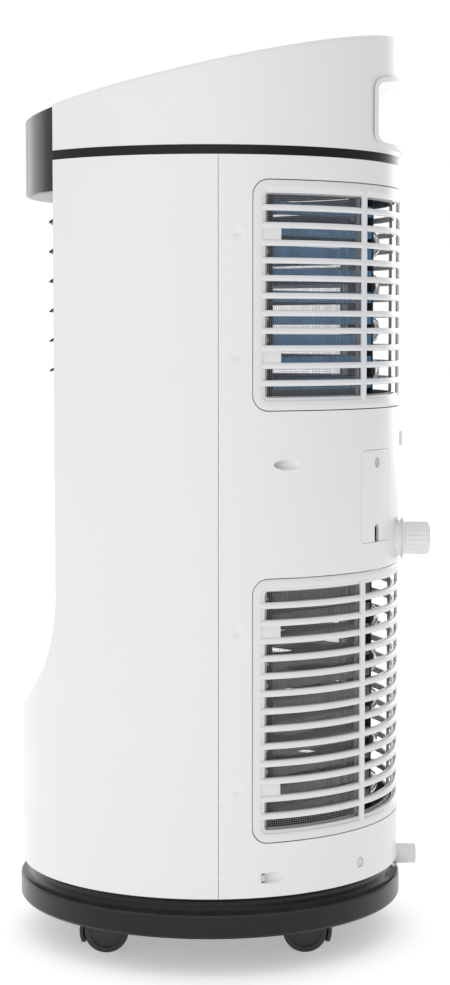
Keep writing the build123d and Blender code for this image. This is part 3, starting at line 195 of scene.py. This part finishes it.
def buildGrain():
    # fine grain in the normal, slow drift in tone and roughness
    group, given, made = newGroup(
        "mouldedGrain",
        [
            ("Tone", "NodeSocketColor", (0.8, 0.8, 0.8, 1)),
            ("Drift", "NodeSocketFloat", 0.015),
            ("Roughness", "NodeSocketFloat", 0.3),
            ("Grain Size", "NodeSocketFloat", 900.0),
            ("Grain Depth", "NodeSocketFloat", 0.05),
        ],
        [("Color", "NodeSocketColor"), ("Roughness", "NodeSocketFloat"), ("Normal", "NodeSocketVector")],
    )
    link = group.links.new
    where = group.nodes.new("ShaderNodeTexCoord")
    slow = group.nodes.new("ShaderNodeTexNoise")
    slow.inputs["Scale"].default_value = 9
    slow.inputs["Detail"].default_value = 3
    link(where.outputs["Object"], slow.inputs["Vector"])
    shift = group.nodes.new("ShaderNodeMapRange")
    shift.inputs["From Min"].default_value = 0.3
    shift.inputs["From Max"].default_value = 0.7
    link(slow.outputs["Fac"], shift.inputs["Value"])
    less = group.nodes.new("ShaderNodeMath")
    less.operation = "SUBTRACT"
    less.inputs[0].default_value = 1.0
    link(given.outputs["Drift"], less.inputs[1])
    link(less.outputs["Value"], shift.inputs["To Min"])
    shift.inputs["To Max"].default_value = 1.0
    tone = group.nodes.new("ShaderNodeVectorMath")
    tone.operation = "SCALE"
    link(given.outputs["Tone"], tone.inputs[0])
    link(shift.outputs["Result"], tone.inputs["Scale"])
    link(tone.outputs["Vector"], made.inputs["Color"])
    fine = group.nodes.new("ShaderNodeTexNoise")
    fine.inputs["Detail"].default_value = 2
    link(where.outputs["Object"], fine.inputs["Vector"])
    link(given.outputs["Grain Size"], fine.inputs["Scale"])
    spread = group.nodes.new("ShaderNodeMath")
    spread.operation = "MULTIPLY_ADD"
    spread.inputs[1].default_value = 0.10
    link(slow.outputs["Fac"], spread.inputs[0])
    link(given.outputs["Roughness"], spread.inputs[2])
    link(spread.outputs["Value"], made.inputs["Roughness"])
    bump = group.nodes.new("ShaderNodeBump")
    bump.inputs["Distance"].default_value = 0.0004
    link(given.outputs["Grain Depth"], bump.inputs["Strength"])
    link(fine.outputs["Fac"], bump.inputs["Height"])
    link(bump.outputs["Normal"], made.inputs["Normal"])
    return group


def buildDust():
    # thin dust on faces that look up
    group, given, made = newGroup(
        "settledDust",
        [("Amount", "NodeSocketFloat", 0.3), ("Patch Size", "NodeSocketFloat", 40.0)],
        [("Mask", "NodeSocketFloat")],
    )
    link = group.links.new
    facing = group.nodes.new("ShaderNodeNewGeometry")
    split = group.nodes.new("ShaderNodeSeparateXYZ")
    link(facing.outputs["Normal"], split.inputs["Vector"])
    up = group.nodes.new("ShaderNodeMapRange")
    up.inputs["From Min"].default_value = 0.4
    up.inputs["From Max"].default_value = 1.0
    link(split.outputs["Z"], up.inputs["Value"])
    where = group.nodes.new("ShaderNodeTexCoord")
    patch = group.nodes.new("ShaderNodeTexNoise")
    patch.inputs["Detail"].default_value = 5
    link(where.outputs["Object"], patch.inputs["Vector"])
    link(given.outputs["Patch Size"], patch.inputs["Scale"])
    both = group.nodes.new("ShaderNodeMath")
    both.operation = "MULTIPLY"
    link(up.outputs["Result"], both.inputs[0])
    link(patch.outputs["Fac"], both.inputs[1])
    amount = group.nodes.new("ShaderNodeMath")
    amount.operation = "MULTIPLY"
    link(both.outputs["Value"], amount.inputs[0])
    link(given.outputs["Amount"], amount.inputs[1])
    link(amount.outputs["Value"], made.inputs["Mask"])
    return group


grainGroup = buildGrain()
dustGroup = buildDust()


# materials
finishes = {
    "whiteShell": {"tone": (0.800, 0.808, 0.822), "rough": 0.30, "grain": 700, "depth": 0.03, "coat": 0.15},
    "whiteTrim": {"tone": (0.790, 0.795, 0.806), "rough": 0.36, "grain": 900, "depth": 0.04},
    "grilleWhite": {"tone": (0.750, 0.757, 0.770), "rough": 0.26, "grain": 900, "depth": 0.03, "coat": 0.2},
    # painted shade: a darker copy of the white plastic for the head case, whose underside sits in shade
    "paintedShadeUnderWhite": {"tone": (0.62, 0.62, 0.63), "rough": 0.5, "grain": 900, "depth": 0.04},
    "rimBlack": {"tone": (0.009, 0.009, 0.010), "rough": 0.24, "grain": 600, "depth": 0.04, "shine": 0.28},
    "louvreBlack": {"tone": (0.016, 0.016, 0.017), "rough": 0.34, "grain": 900, "depth": 0.06},
    "casterBlack": {"tone": (0.020, 0.020, 0.021), "rough": 0.45, "grain": 800, "depth": 0.10},
    "wheelBlack": {"tone": (0.024, 0.024, 0.025), "rough": 0.40, "grain": 500, "depth": 0.08},
    "fasciaGloss": {"tone": (0.006, 0.006, 0.007), "rough": 0.16, "grain": 300, "depth": 0.008, "shine": 0.42},
    "keyGrey": {"tone": (0.42, 0.43, 0.45), "rough": 0.42, "grain": 900, "depth": 0.05},
    "iconDark": {"tone": (0.030, 0.032, 0.036), "rough": 0.40, "grain": 900, "depth": 0.02},
    "filterPale": {"tone": (0.40, 0.41, 0.42), "rough": 0.50, "grain": 900, "depth": 0.05},
    "finBlue": {"tone": (0.165, 0.440, 0.760), "rough": 0.42, "grain": 300, "depth": 0.05},
    "finGrey": {"tone": (0.300, 0.305, 0.315), "rough": 0.42, "grain": 300, "depth": 0.05},
    # dark tone for the coil end plates and for the painted-shade sheets inside the fin packs
    "platesAndPaintedShadeDark": {"tone": (0.040, 0.042, 0.045), "rough": 0.45, "grain": 200, "depth": 0.08},
    "tubeBright": {"tone": (0.72, 0.73, 0.75), "rough": 0.18, "grain": 300, "depth": 0.04, "metal": 1.0},
    "copperTube": {"tone": (0.66, 0.33, 0.20), "rough": 0.28, "grain": 300, "depth": 0.05, "metal": 1.0},
    "ductDark": {"tone": (0.045, 0.046, 0.048), "rough": 0.70, "grain": 500, "depth": 0.12},
    "fanBlack": {"tone": (0.025, 0.025, 0.027), "rough": 0.45, "grain": 700, "depth": 0.06},
    "motorZinc": {"tone": (0.42, 0.42, 0.43), "rough": 0.36, "grain": 350, "depth": 0.10, "metal": 0.9},
    "compressorEnamel": {"tone": (0.012, 0.012, 0.013), "rough": 0.33, "grain": 250, "depth": 0.12},
    "footRubber": {"tone": (0.020, 0.020, 0.020), "rough": 0.75, "grain": 500, "depth": 0.15},
    "boxSheet": {"tone": (0.46, 0.47, 0.48), "rough": 0.42, "grain": 120, "depth": 0.12, "metal": 0.8},
    "screwZinc": {"tone": (0.55, 0.55, 0.56), "rough": 0.30, "grain": 500, "depth": 0.05, "metal": 1.0},
    "boardGreen": {"tone": (0.020, 0.110, 0.050), "rough": 0.45, "grain": 400, "depth": 0.06},
}


common = {
    "drift": 0.012,  # slow change of tone over the surface
    "dust": 0.10,
    "dustTone": (0.62, 0.62, 0.61),
    "coatRough": 0.12,
    "roughSpread": 0.05,
}


def makeFinish(name, look):
    material = bpy.data.materials.new(name)
    material.use_nodes = True
    tree = material.node_tree
    shader = tree.nodes["Principled BSDF"]
    grain = tree.nodes.new("ShaderNodeGroup")
    grain.node_tree = grainGroup
    grain.inputs["Tone"].default_value = (*look["tone"], 1)
    grain.inputs["Drift"].default_value = common["drift"]
    grain.inputs["Roughness"].default_value = look["rough"] - common["roughSpread"]
    grain.inputs["Grain Size"].default_value = look["grain"]
    grain.inputs["Grain Depth"].default_value = look["depth"]
    dust = tree.nodes.new("ShaderNodeGroup")
    dust.node_tree = dustGroup
    dust.inputs["Amount"].default_value = common["dust"]
    blend = tree.nodes.new("ShaderNodeMix")
    blend.data_type = "RGBA"
    blend.inputs["B"].default_value = (*common["dustTone"], 1)
    tree.links.new(dust.outputs["Mask"], blend.inputs["Factor"])
    tree.links.new(grain.outputs["Color"], blend.inputs["A"])
    tree.links.new(blend.outputs["Result"], shader.inputs["Base Color"])
    tree.links.new(grain.outputs["Roughness"], shader.inputs["Roughness"])
    tree.links.new(grain.outputs["Normal"], shader.inputs["Normal"])
    shader.inputs["Metallic"].default_value = look.get("metal", 0.0)
    shader.inputs["Specular IOR Level"].default_value = look.get("shine", 0.5)
    shader.inputs["Coat Weight"].default_value = look.get("coat", 0.0)
    shader.inputs["Coat Roughness"].default_value = common["coatRough"]
    return material


finish = {name: makeFinish(name, look) for name, look in finishes.items()}


def dress(node, name):
    mesh = nodes[node].data
    if not mesh.materials:
        mesh.materials.append(finish[name])
    for i in range(len(mesh.materials)):
        mesh.materials[i] = finish[name]


def named(start):
    return [n for n in nodes if n.startswith(start)]


wear = {
    "whiteShell": ["front_shell", "rear_shell", "top_housing", "cord_cover"],
    "whiteTrim": ["handle_liner", "drain_spout", "drain_cap", "tray_plug", "exhaust_collar"],
    # the head case takes the darker white as painted shade for its underside
    "paintedShadeUnderWhite": ["head_case"],
    "rimBlack": ["base_tray", "trim_band"],
    "louvreBlack": ["outlet_frame", "cord_gland"] + named("louvre_"),
    "casterBlack": named("caster_hood"),
    "wheelBlack": named("caster_wheels"),
    "fasciaGloss": ["head_fascia", "control_panel"],
    "keyGrey": named("button_"),
    "filterPale": ["upper_filter", "lower_filter"],
    "finBlue": ["evaporator_fins"],
    "finGrey": ["condenser_fins"],
    "tubeBright": ["evaporator_tubes", "condenser_tubes"],
    "copperTube": ["pipework"],
    "ductDark": ["blower_scroll", "condenser_scroll", "mid_deck"],
    "fanBlack": ["blower_wheel", "condenser_fan"],
    "motorZinc": ["blower_motor", "condenser_motor", "swing_motor"],
    "compressorEnamel": ["compressor"],
    "footRubber": ["compressor_feet"],
    "boxSheet": ["control_box"],
    "screwZinc": ["shell_screws"],
    "boardGreen": ["display_board"],
}
for name, members in wear.items():
    for node in members:
        dress(node, name)
for node in ("upper_grille", "lower_grille"):
    dress(node, "whiteTrim")
print("materials ready")


# tools for making pieces
def keepPiece(bm, name, material, body, stands=(), smoothAngle=35):
    bmesh.ops.recalc_face_normals(bm, faces=bm.faces)
    mesh = bpy.data.meshes.new(name)
    bm.to_mesh(mesh)
    bm.free()
    piece = bpy.data.objects.new(name, mesh)
    bpy.context.scene.collection.objects.link(piece)
    mesh.materials.append(finish[material])
    mesh.shade_smooth()
    mesh.set_sharp_from_angle(angle=math.radians(smoothAngle))
    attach(piece, body)
    if stands:
        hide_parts(*stands)
    return piece


def closedPiece(bm):
    bmesh.ops.remove_doubles(bm, verts=bm.verts, dist=0.000005)
    bmesh.ops.recalc_face_normals(bm, faces=bm.faces)


def bodyOf(node):
    for body, members in frame["record"]["behaviour"]["bodies"].items():
        if node in members:
            return body
    return "root"


def roundedBlock(bm, low, high, bevel, segments=3, axes="xyz"):
    # a block between two corners with its edges rounded; axes picks the edges by direction
    made = bmesh.ops.create_cube(bm, size=1.0)["verts"]
    size = Vector(high) - Vector(low)
    middle = (Vector(high) + Vector(low)) / 2
    bmesh.ops.scale(bm, vec=size, verts=made)
    bmesh.ops.translate(bm, vec=middle, verts=made)
    chosen = []
    for edge in {e for v in made for e in v.link_edges}:
        run = edge.verts[0].co - edge.verts[1].co
        way = "xyz"[max(range(3), key=lambda k: abs(run[k]))]
        if way in axes:
            chosen.append(edge)
    bmesh.ops.bevel(
        bm, geom=chosen, offset=bevel, segments=segments, profile=0.5, affect="EDGES", material=-1,
        offset_type="OFFSET", clamp_overlap=True,
    )


def turned(bm, section, angleFrom, angleTo, steps):
    # sweeps a closed section, given as radius and height, about the body axis
    cosine, sine = math.cos(angleFrom), math.sin(angleFrom)
    corners = [bm.verts.new((r * cosine, axisY + r * sine, z)) for r, z in section]
    face = bm.faces.new(corners)
    made = bmesh.ops.spin(
        bm, geom=[face], cent=axisPoint, axis=(0, 0, 1), dvec=(0, 0, 0), angle=angleTo - angleFrom,
        steps=steps, use_duplicate=False,
    )
    return made["geom_last"]


def softSection(radiusFrom, radiusTo, low, high, front, rear, steps=3):
    # rectangle in radius and height with rounded corners, larger on the outside
    corners = [
        (radiusTo - front, low + front, -90, front),
        (radiusTo - front, high - front, 0, front),
        (radiusFrom + rear, high - rear, 90, rear),
        (radiusFrom + rear, low + rear, 180, rear),
    ]
    points = []
    for r, z, start, radius in corners:
        for k in range(steps + 1):
            turn = math.radians(start + 90 * k / steps)
            points.append((r + radius * math.cos(turn), z + radius * math.sin(turn)))
    return points


def wholeOf(verts):
    # the corners with all their faces and edges, for an operator that copies them
    faces = {f for v in verts for f in v.link_faces}
    edges = {e for v in verts for e in v.link_edges}
    return verts + list(faces) + list(edges)


# the two lift-off grilles
grilleShape = {
    "slatRadii": (169.0 * mm, 174.9 * mm),
    "slatSoft": 1.7 * mm,
    "frameThickness": 5.0 * mm,
    "ledge": 3.0 * mm,  # recessed strip round the openings
    "ledgeDepth": 1.7 * mm,
    "edgeSoft": 0.5 * mm,
    "ribAngle": 39.25,
    "ribWidth": 7.0 * mm,
    "ribDepth": 3.0 * mm,
    "ribSoft": 1.3 * mm,
    "latchRadii": (169.0 * mm, 173.4 * mm),
    "latchAngles": (14.6, 20.4),
    "sideMargin": 11.2 * mm,
    "bend": 3.0,  # degrees for each flat of the curved sheet
    "frontEdge": 36.2 * mm,  # from the seam's plane to the frame's edge
    "corner": 13.6 * mm,
    "cornerSegments": 9,
    "gap": 0.35 * mm,  # shadow line round the frame
    "ledgeSlope": 0.5 * mm,
    "sharpRim": 30,  # edges turned more than this are rounded
    "slatUnder": 1.5 * mm,  # how far the slats run in under the frame
    "slatRearSoft": 0.8 * mm,
    "ribUnder": 1.0 * mm,
    "ribProud": 0.1 * mm,
    "latchRow": 2,  # rows from the bottom and from the top
    "latchOver": 1.0 * mm,
    "latchSoft": 0.3 * mm,
    "latchSteps": 3,
}
grilles = {
    "upper": {"rows": 12, "opening": 9.55 * mm, "slat": 5.30 * mm, "margin": 11.35 * mm},
    "lower": {"rows": 14, "opening": 9.60 * mm, "slat": 5.64 * mm, "margin": 10.70 * mm},
}


def bentFrame(bm, low, high, frontY, margin, shape):
    # drawn flat as arc length, depth and height, then bent round the body axis
    startArc = bodyRadius * math.asin(frontY / bodyRadius)
    endArc = math.pi * bodyRadius - startArc
    made = bmesh.ops.create_grid(bm, x_segments=1, y_segments=1, size=0.5)["verts"]
    bmesh.ops.rotate(bm, verts=made, cent=(0, 0, 0), matrix=Matrix.Rotation(math.radians(90), 3, "X"))
    bmesh.ops.scale(bm, vec=(endArc - startArc, 1, high - low), verts=made)
    bmesh.ops.translate(bm, vec=((startArc + endArc) / 2, 0, (low + high) / 2), verts=made)
    bmesh.ops.bevel(
        bm, geom=made, offset=shape["corner"], segments=shape["cornerSegments"], profile=0.5,
        affect="VERTICES", material=-1, offset_type="OFFSET", clamp_overlap=False,
    )
    face = [f for f in bm.faces][0]
    face.normal_update()
    ledge = shape["ledge"]
    bmesh.ops.inset_region(
        bm, faces=[face], thickness=margin - ledge, use_boundary=True, use_even_offset=True
    )
    bmesh.ops.inset_region(bm, faces=[face], thickness=shape["ledgeSlope"], use_even_offset=True)
    for v in face.verts:
        v.co.y = -shape["ledgeDepth"]
    bmesh.ops.inset_region(bm, faces=[face], thickness=ledge - shape["ledgeSlope"], use_even_offset=True)
    slide = shape["sideMargin"] - margin
    for v in face.verts:
        v.co.x += slide if v.co.x < (startArc + endArc) / 2 else -slide
    bmesh.ops.delete(bm, geom=[face], context="FACES_ONLY")
    front = list(bm.faces)
    made = bmesh.ops.extrude_face_region(bm, geom=front, use_keep_orig=True)["geom"]
    for v in [g for g in made if isinstance(g, bmesh.types.BMVert)]:
        v.co.y = -shape["frameThickness"]
    closedPiece(bm)
    rim = [
        e for e in bm.edges
        if e.is_manifold and math.degrees(e.calc_face_angle(0)) > shape["sharpRim"]
        and all(v.co.y > -shape["ledgeDepth"] - 0.01 * mm for v in e.verts)
    ]
    bmesh.ops.bevel(
        bm, geom=rim, offset=shape["edgeSoft"], segments=2, profile=0.5, affect="EDGES", material=-1,
        offset_type="OFFSET", clamp_overlap=True,
    )
    step = bodyRadius * math.radians(shape["bend"])
    cut = startArc + step / 2
    while cut < endArc:
        everything = bm.verts[:] + bm.edges[:] + bm.faces[:]
        bmesh.ops.bisect_plane(bm, geom=everything, dist=0.000001, plane_co=(cut, 0, 0), plane_no=(1, 0, 0))
        cut += step
    for v in bm.verts:
        turn = v.co.x / bodyRadius
        reach = bodyRadius + v.co.y
        v.co = (reach * math.cos(turn), axisY + reach * math.sin(turn), v.co.z)


def makeGrille(which, look, shape):
    node = which + "_grille"
    low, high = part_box(node)
    low, high = low.z, high.z
    bm = bmesh.new()
    gap = shape["gap"]
    bentFrame(bm, low + gap, high - gap, shape["frontEdge"] + gap, look["margin"] - gap, shape)
    slatStart = shape["frontEdge"] + shape["sideMargin"] - shape["ledge"] - shape["slatUnder"]
    startAngle = math.asin(slatStart / bodyRadius)
    steps = round(math.degrees(math.pi - 2 * startAngle) / shape["bend"])
    pitch = look["opening"] + look["slat"]
    firstSlat = low + look["margin"] + look["opening"] + look["slat"] / 2
    for row in range(look["rows"] - 1):
        middle = firstSlat + row * pitch
        section = softSection(
            *shape["slatRadii"], middle - look["slat"] / 2, middle + look["slat"] / 2,
            shape["slatSoft"], shape["slatRearSoft"],
        )
        turned(bm, section, startAngle, math.pi - startAngle, steps)
    ribBottom = low + look["margin"] - shape["ledge"] - shape["ribUnder"]
    ribTop = high - look["margin"] + shape["ledge"] + shape["ribUnder"]
    for angle in (90 - shape["ribAngle"], 90, 90 + shape["ribAngle"]):
        before = set(bm.verts)
        roundedBlock(
            bm,
            (bodyRadius - shape["ribDepth"], -shape["ribWidth"] / 2, ribBottom),
            (bodyRadius + shape["ribProud"], shape["ribWidth"] / 2, ribTop),
            shape["ribSoft"],
            axes="z",
        )
        fresh = [v for v in bm.verts if v not in before]
        turn = Matrix.Rotation(math.radians(angle), 3, "Z")
        bmesh.ops.rotate(bm, verts=fresh, cent=(0, 0, 0), matrix=turn)
        bmesh.ops.translate(bm, verts=fresh, vec=axisPoint)
    first, last = (math.radians(a) for a in shape["latchAngles"])
    over, soft, steps = shape["latchOver"], shape["latchSoft"], shape["latchSteps"]
    for row in (shape["latchRow"], look["rows"] - 1 - shape["latchRow"]):
        bottom = low + look["margin"] + row * pitch
        top = bottom + look["opening"]
        section = softSection(*shape["latchRadii"], bottom - over, top + over, soft, soft)
        turned(bm, section, first, last, steps)
        turned(bm, section, math.pi - last, math.pi - first, steps)
    closedPiece(bm)
    return keepPiece(bm, which + "GrilleMoulding", "grilleWhite", bodyOf(node), [node], smoothAngle=38)


for which, look in grilles.items():
    made = makeGrille(which, look, grilleShape)
    print("grille", which, len(made.data.polygons))


# the mesh filters behind the grilles
filterShape = {
    "radii": (165.5 * mm, 168.0 * mm),
    "border": 7.0 * mm,
    "strandPitch": 1.75 * mm,
    "strandWidth": 0.18 * mm,
    "strandDepth": 0.18 * mm,
    "ribAngle": 39.25,
    "ribWidth": 3.5 * mm,
    "startRoom": 0.002,  # radians left free at both ends
    "borderSoft": 0.5 * mm,
    "borderSteps": 50,
    "postSoft": 0.4 * mm,
    "postUnder": 1.0 * mm,
    "strandSteps": 7,
}


def makeFilter(which, shape):
    node = which + "_filter"
    low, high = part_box(node)
    inner, outer = shape["radii"]
    frontAngle = math.asin((low.y - axisY) / outer) + shape["startRoom"]
    low, high = low.z, high.z
    bm = bmesh.new()
    for bottom in (low, high - shape["border"]):
        soft = shape["borderSoft"]
        section = softSection(inner, outer, bottom, bottom + shape["border"], soft, soft, 2)
        turned(bm, section, frontAngle, math.pi - frontAngle, shape["borderSteps"])
    edge = shape["border"] / outer
    posts = [(frontAngle, frontAngle + edge), (math.pi - frontAngle - edge, math.pi - frontAngle)]
    for turn in (-1, 0, 1):
        middle = math.radians(90 + turn * shape["ribAngle"])
        half = shape["ribWidth"] / outer / 2
        posts.append((middle - half, middle + half))
    under, soft = shape["postUnder"], shape["postSoft"]
    postSection = softSection(inner, outer, low + under, high - under, soft, soft, 1)
    for first, last in posts:
        turned(bm, postSection, first, last, 2)
    middleRadius = (inner + outer) / 2
    thin, deep = shape["strandWidth"] / 2, shape["strandDepth"] / 2
    bays = [
        (frontAngle + edge, math.radians(90 - shape["ribAngle"])),
        (math.radians(90 + shape["ribAngle"]), math.pi - frontAngle - edge),
    ]
    for first, last in bays:
        count = round((last - first) * middleRadius / shape["strandPitch"])
        made = bmesh.ops.create_cube(bm, size=1.0)["verts"]
        bmesh.ops.scale(bm, vec=(2 * deep, 2 * thin, high - low - shape["border"]), verts=made)
        bmesh.ops.translate(bm, vec=(middleRadius, 0, (low + high) / 2), verts=made)
        bmesh.ops.rotate(bm, verts=made, cent=(0, 0, 0), matrix=Matrix.Rotation(first, 3, "Z"))
        bmesh.ops.translate(bm, verts=made, vec=axisPoint)
        bmesh.ops.spin(
            bm, geom=wholeOf(made), cent=axisPoint, axis=(0, 0, 1), dvec=(0, 0, 0), angle=last - first,
            steps=count, use_duplicate=True,
        )
        rows = round((high - low - 2 * shape["border"]) / shape["strandPitch"])
        for row in range(rows + 1):
            z = low + shape["border"] + row * (high - low - 2 * shape["border"]) / rows
            section = [
                (middleRadius - deep, z - thin), (middleRadius + deep, z - thin),
                (middleRadius + deep, z + thin), (middleRadius - deep, z + thin),
            ]
            turned(bm, section, first, last, shape["strandSteps"])
    closedPiece(bm)
    return keepPiece(bm, which + "FilterScreen", "filterPale", bodyOf(node), [node])


for which in ("upper", "lower"):
    made = makeFilter(which, filterShape)
    print("filter", which, len(made.data.polygons))


# thin fins on the coils, in the place of the solid bars
finShape = {
    "pitch": 2.1 * mm,
    "thickness": 1.0 * mm,
    "barHeight": 9.5 * mm,  # fin pack at each tube level
    "paintedShadeShare": 0.90,  # of the slab's width: a dark sheet inside the fin pack, painted shade between the fins
    "paintedShadeHeight": 9.0 * mm,
    "plate": 1.5 * mm,
    "tubeRadius": 3.5 * mm,
    "tubePitch": 19.0 * mm,
    "plateSoft": 0.3 * mm,
}


def slabCorners(node, side):
    # plan corners of one coil slab: the outermost points of its mesh in the four directions
    spots = [v.co for v in nodes[node].data.vertices if v.co.x * side > 0]
    outer = max(spots, key=lambda c: c.x * side)
    front = min(spots, key=lambda c: c.y)
    rear = max(spots, key=lambda c: c.y)
    inner = min(spots, key=lambda c: c.x * side)
    start = (outer.xy + front.xy) / 2
    end = (rear.xy + inner.xy) / 2
    return start, end, (outer.xy - front.xy).length


def standingBlock(bm, centre, run, length, width, low, high):
    made = bmesh.ops.create_cube(bm, size=1.0)["verts"]
    bmesh.ops.scale(bm, vec=(length, width, high - low), verts=made)
    turn = Matrix.Rotation(math.atan2(run.y, run.x), 3, "Z")
    bmesh.ops.rotate(bm, verts=made, cent=(0, 0, 0), matrix=turn)
    bmesh.ops.translate(bm, verts=made, vec=(centre.x, centre.y, (low + high) / 2))
    return made


def repeatAlong(bm, verts, step, count):
    bmesh.ops.spin(
        bm, geom=wholeOf(verts), cent=(0, 0, 0), axis=(0, 0, 1), dvec=step, angle=0, steps=count,
        use_duplicate=True,
    )


def makeFins(which, material, shape):
    node = which + "_fins"
    low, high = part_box(node)
    tubeLow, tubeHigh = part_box(which + "_tubes")
    first = tubeLow.z + shape["tubeRadius"]
    levels = round((tubeHigh.z - tubeLow.z - 2 * shape["tubeRadius"]) / shape["tubePitch"]) + 1
    bm = bmesh.new()
    platesAndShadeSheets = bmesh.new()
    for side in (1, -1):
        start, end, width = slabCorners(node, side)
        run = (end - start).normalized()
        length = (end - start).length
        for k in (0, 1):
            centre = start + run * (shape["plate"] / 2 + k * (length - shape["plate"]))
            standingBlock(platesAndShadeSheets, centre, run, shape["plate"], width, low.z, high.z)
        count = int((length - 2 * shape["plate"]) / shape["pitch"]) - 1
        lead = (length - count * shape["pitch"]) / 2
        for level in range(levels):
            middle = first + level * shape["tubePitch"]
            fin = standingBlock(
                bm, start + run * lead, run, shape["thickness"], width,
                middle - shape["barHeight"] / 2, middle + shape["barHeight"] / 2,
            )
            repeatAlong(bm, fin, (run.x * shape["pitch"], run.y * shape["pitch"], 0), count)
            # painted shade: a dark sheet through the middle of each fin level, standing in for the shade
            # between the fins
            standingBlock(
                platesAndShadeSheets, (start + end) / 2, run, length - shape["plate"], width * shape["paintedShadeShare"],
                middle - shape["paintedShadeHeight"] / 2, middle + shape["paintedShadeHeight"] / 2,
            )
    bmesh.ops.bevel(
        platesAndShadeSheets, geom=platesAndShadeSheets.edges[:], offset=shape["plateSoft"], segments=2, profile=0.5,
        affect="EDGES", material=-1,
    )
    made = keepPiece(bm, which + "FinPack", material, "root", [node])
    # dark end plates, with the painted-shade sheets of the fin levels in the same piece
    keepPiece(platesAndShadeSheets, which + "EndPlatesAndShadeSheets", "platesAndPaintedShadeDark", "root", [node])
    return made


for which, material in (("evaporator", "finBlue"), ("condenser", "finGrey")):
    made = makeFins(which, material, finShape)
    print("fins", which, len(made.data.polygons))


# small raised marks on the five buttons
iconShape = {
    "size": 2.6 * mm,
    "line": 0.7 * mm,
    "height": 0.25 * mm,
    "sunk": 0.15 * mm,
    "rimBand": 0.3 * mm,  # depth of the button's top that is read for its middle
}


def flatDisc(bm, x, y, radius, sides, turn=0.0):
    spot = Matrix.Translation((x, y, 0)) @ Matrix.Rotation(turn, 4, "Z")
    made = bmesh.ops.create_circle(bm, cap_ends=True, segments=sides, radius=radius, matrix=spot)["verts"]
    return made[0].link_faces[0]


def flatRing(bm, radius, line, sides=32, gapSides=0):
    face = flatDisc(bm, 0, 0, radius, sides, math.pi / 2 + math.pi / sides)
    bmesh.ops.inset_region(bm, faces=[face], thickness=line, use_boundary=True, use_even_offset=True)
    bmesh.ops.delete(bm, geom=[face], context="FACES_ONLY")
    if gapSides:
        top = sorted(bm.faces, key=lambda f: -f.calc_center_median().y)[:gapSides]
        bmesh.ops.delete(bm, geom=top, context="FACES")


def flatBar(bm, x, y, width, height):
    spot = Matrix.Translation((x, y, 0)) @ Matrix.Diagonal((width, height, 1, 1))
    bmesh.ops.create_grid(bm, x_segments=1, y_segments=1, size=0.5, matrix=spot)


def drawIcon(bm, which, shape):
    size, line = shape["size"], shape["line"]
    if which == "power":
        flatRing(bm, size, line, gapSides=6)
        flatBar(bm, 0, size * 0.62, line, size)
    if which == "mode":
        flatRing(bm, size, line)
        flatDisc(bm, 0, 0, size * 0.35, 20)
    if which == "lower":
        flatDisc(bm, 0, 0, size, 3, -math.pi / 2)
    if which == "raise":
        flatDisc(bm, 0, 0, size, 3, math.pi / 2)
    if which == "speed":
        for k in (-1, 0, 1):
            tall = size * (1.2 + 0.4 * k)
            flatBar(bm, k * line * 2, (tall - size * 1.6) / 2, line, tall)


def makeIcon(which, shape):
    node = "button_" + which
    body = bmesh.new()
    body.from_mesh(nodes[node].data)
    body.faces.ensure_lookup_table()
    up = sum((f.normal * f.calc_area() for f in body.faces if f.normal.z > 0.8), Vector()).normalized()
    height = max(v.co.dot(up) for v in body.verts)
    rim = [v.co for v in body.verts if v.co.dot(up) > height - shape["rimBand"]]
    middle = sum(rim, Vector()) / len(rim)
    middle += up * (height - middle.dot(up))
    body.free()
    bm = bmesh.new()
    drawIcon(bm, which, shape)
    made = bmesh.ops.extrude_face_region(bm, geom=bm.faces[:], use_keep_orig=True)["geom"]
    rise = shape["height"] + shape["sunk"]
    bmesh.ops.translate(bm, vec=(0, 0, rise), verts=[g for g in made if isinstance(g, bmesh.types.BMVert)])
    bmesh.ops.translate(bm, vec=(0, 0, -shape["sunk"]), verts=bm.verts)
    tilt = Vector((0, 0, 1)).rotation_difference(up).to_matrix()
    bmesh.ops.rotate(bm, verts=bm.verts, cent=(0, 0, 0), matrix=tilt)
    bmesh.ops.translate(bm, verts=bm.verts, vec=middle)
    return keepPiece(bm, which + "Icon", "iconDark", bodyOf(node))


for which in ("power", "mode", "lower", "raise", "speed"):
    made = makeIcon(which, iconShape)
    print("icon", which, len(made.data.polygons))


# white sleeve over the tray's drain boss
sleeveShape = {
    "proud": 0.3 * mm,
    "wall": 0.6 * mm,
    "plugHead": 7.0 * mm,
    "sunk": 2.0 * mm,
    "soft": 0.2 * mm,
    "endRoom": 0.05 * mm,
    "sides": 48,
}


def makeSleeve(shape):
    low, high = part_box("tray_plug")
    outer = (high.z - low.z) / 2 + shape["proud"]
    inner = outer - shape["wall"]
    near = axisY + bodyRadius - shape["sunk"]
    far = high.y - shape["plugHead"] - shape["endRoom"]
    middle = (low.z + high.z) / 2
    bm = bmesh.new()
    soft = shape["soft"]
    section = [(inner, near), (outer, near), (outer, far - soft), (outer - soft, far), (inner, far)]
    corners = [bm.verts.new((r, y, middle)) for r, y in section]
    loop = [bm.edges.new((corners[k - 1], corners[k])) for k in range(len(corners))]
    bmesh.ops.spin(
        bm, geom=corners + loop, cent=(0, 0, middle), axis=(0, 1, 0), dvec=(0, 0, 0), angle=2 * math.pi,
        steps=shape["sides"], use_merge=True,
    )
    return keepPiece(bm, "trayDrainSleeve", "whiteTrim", "root")


made = makeSleeve(sleeveShape)
print("drain sleeve", len(made.data.polygons))
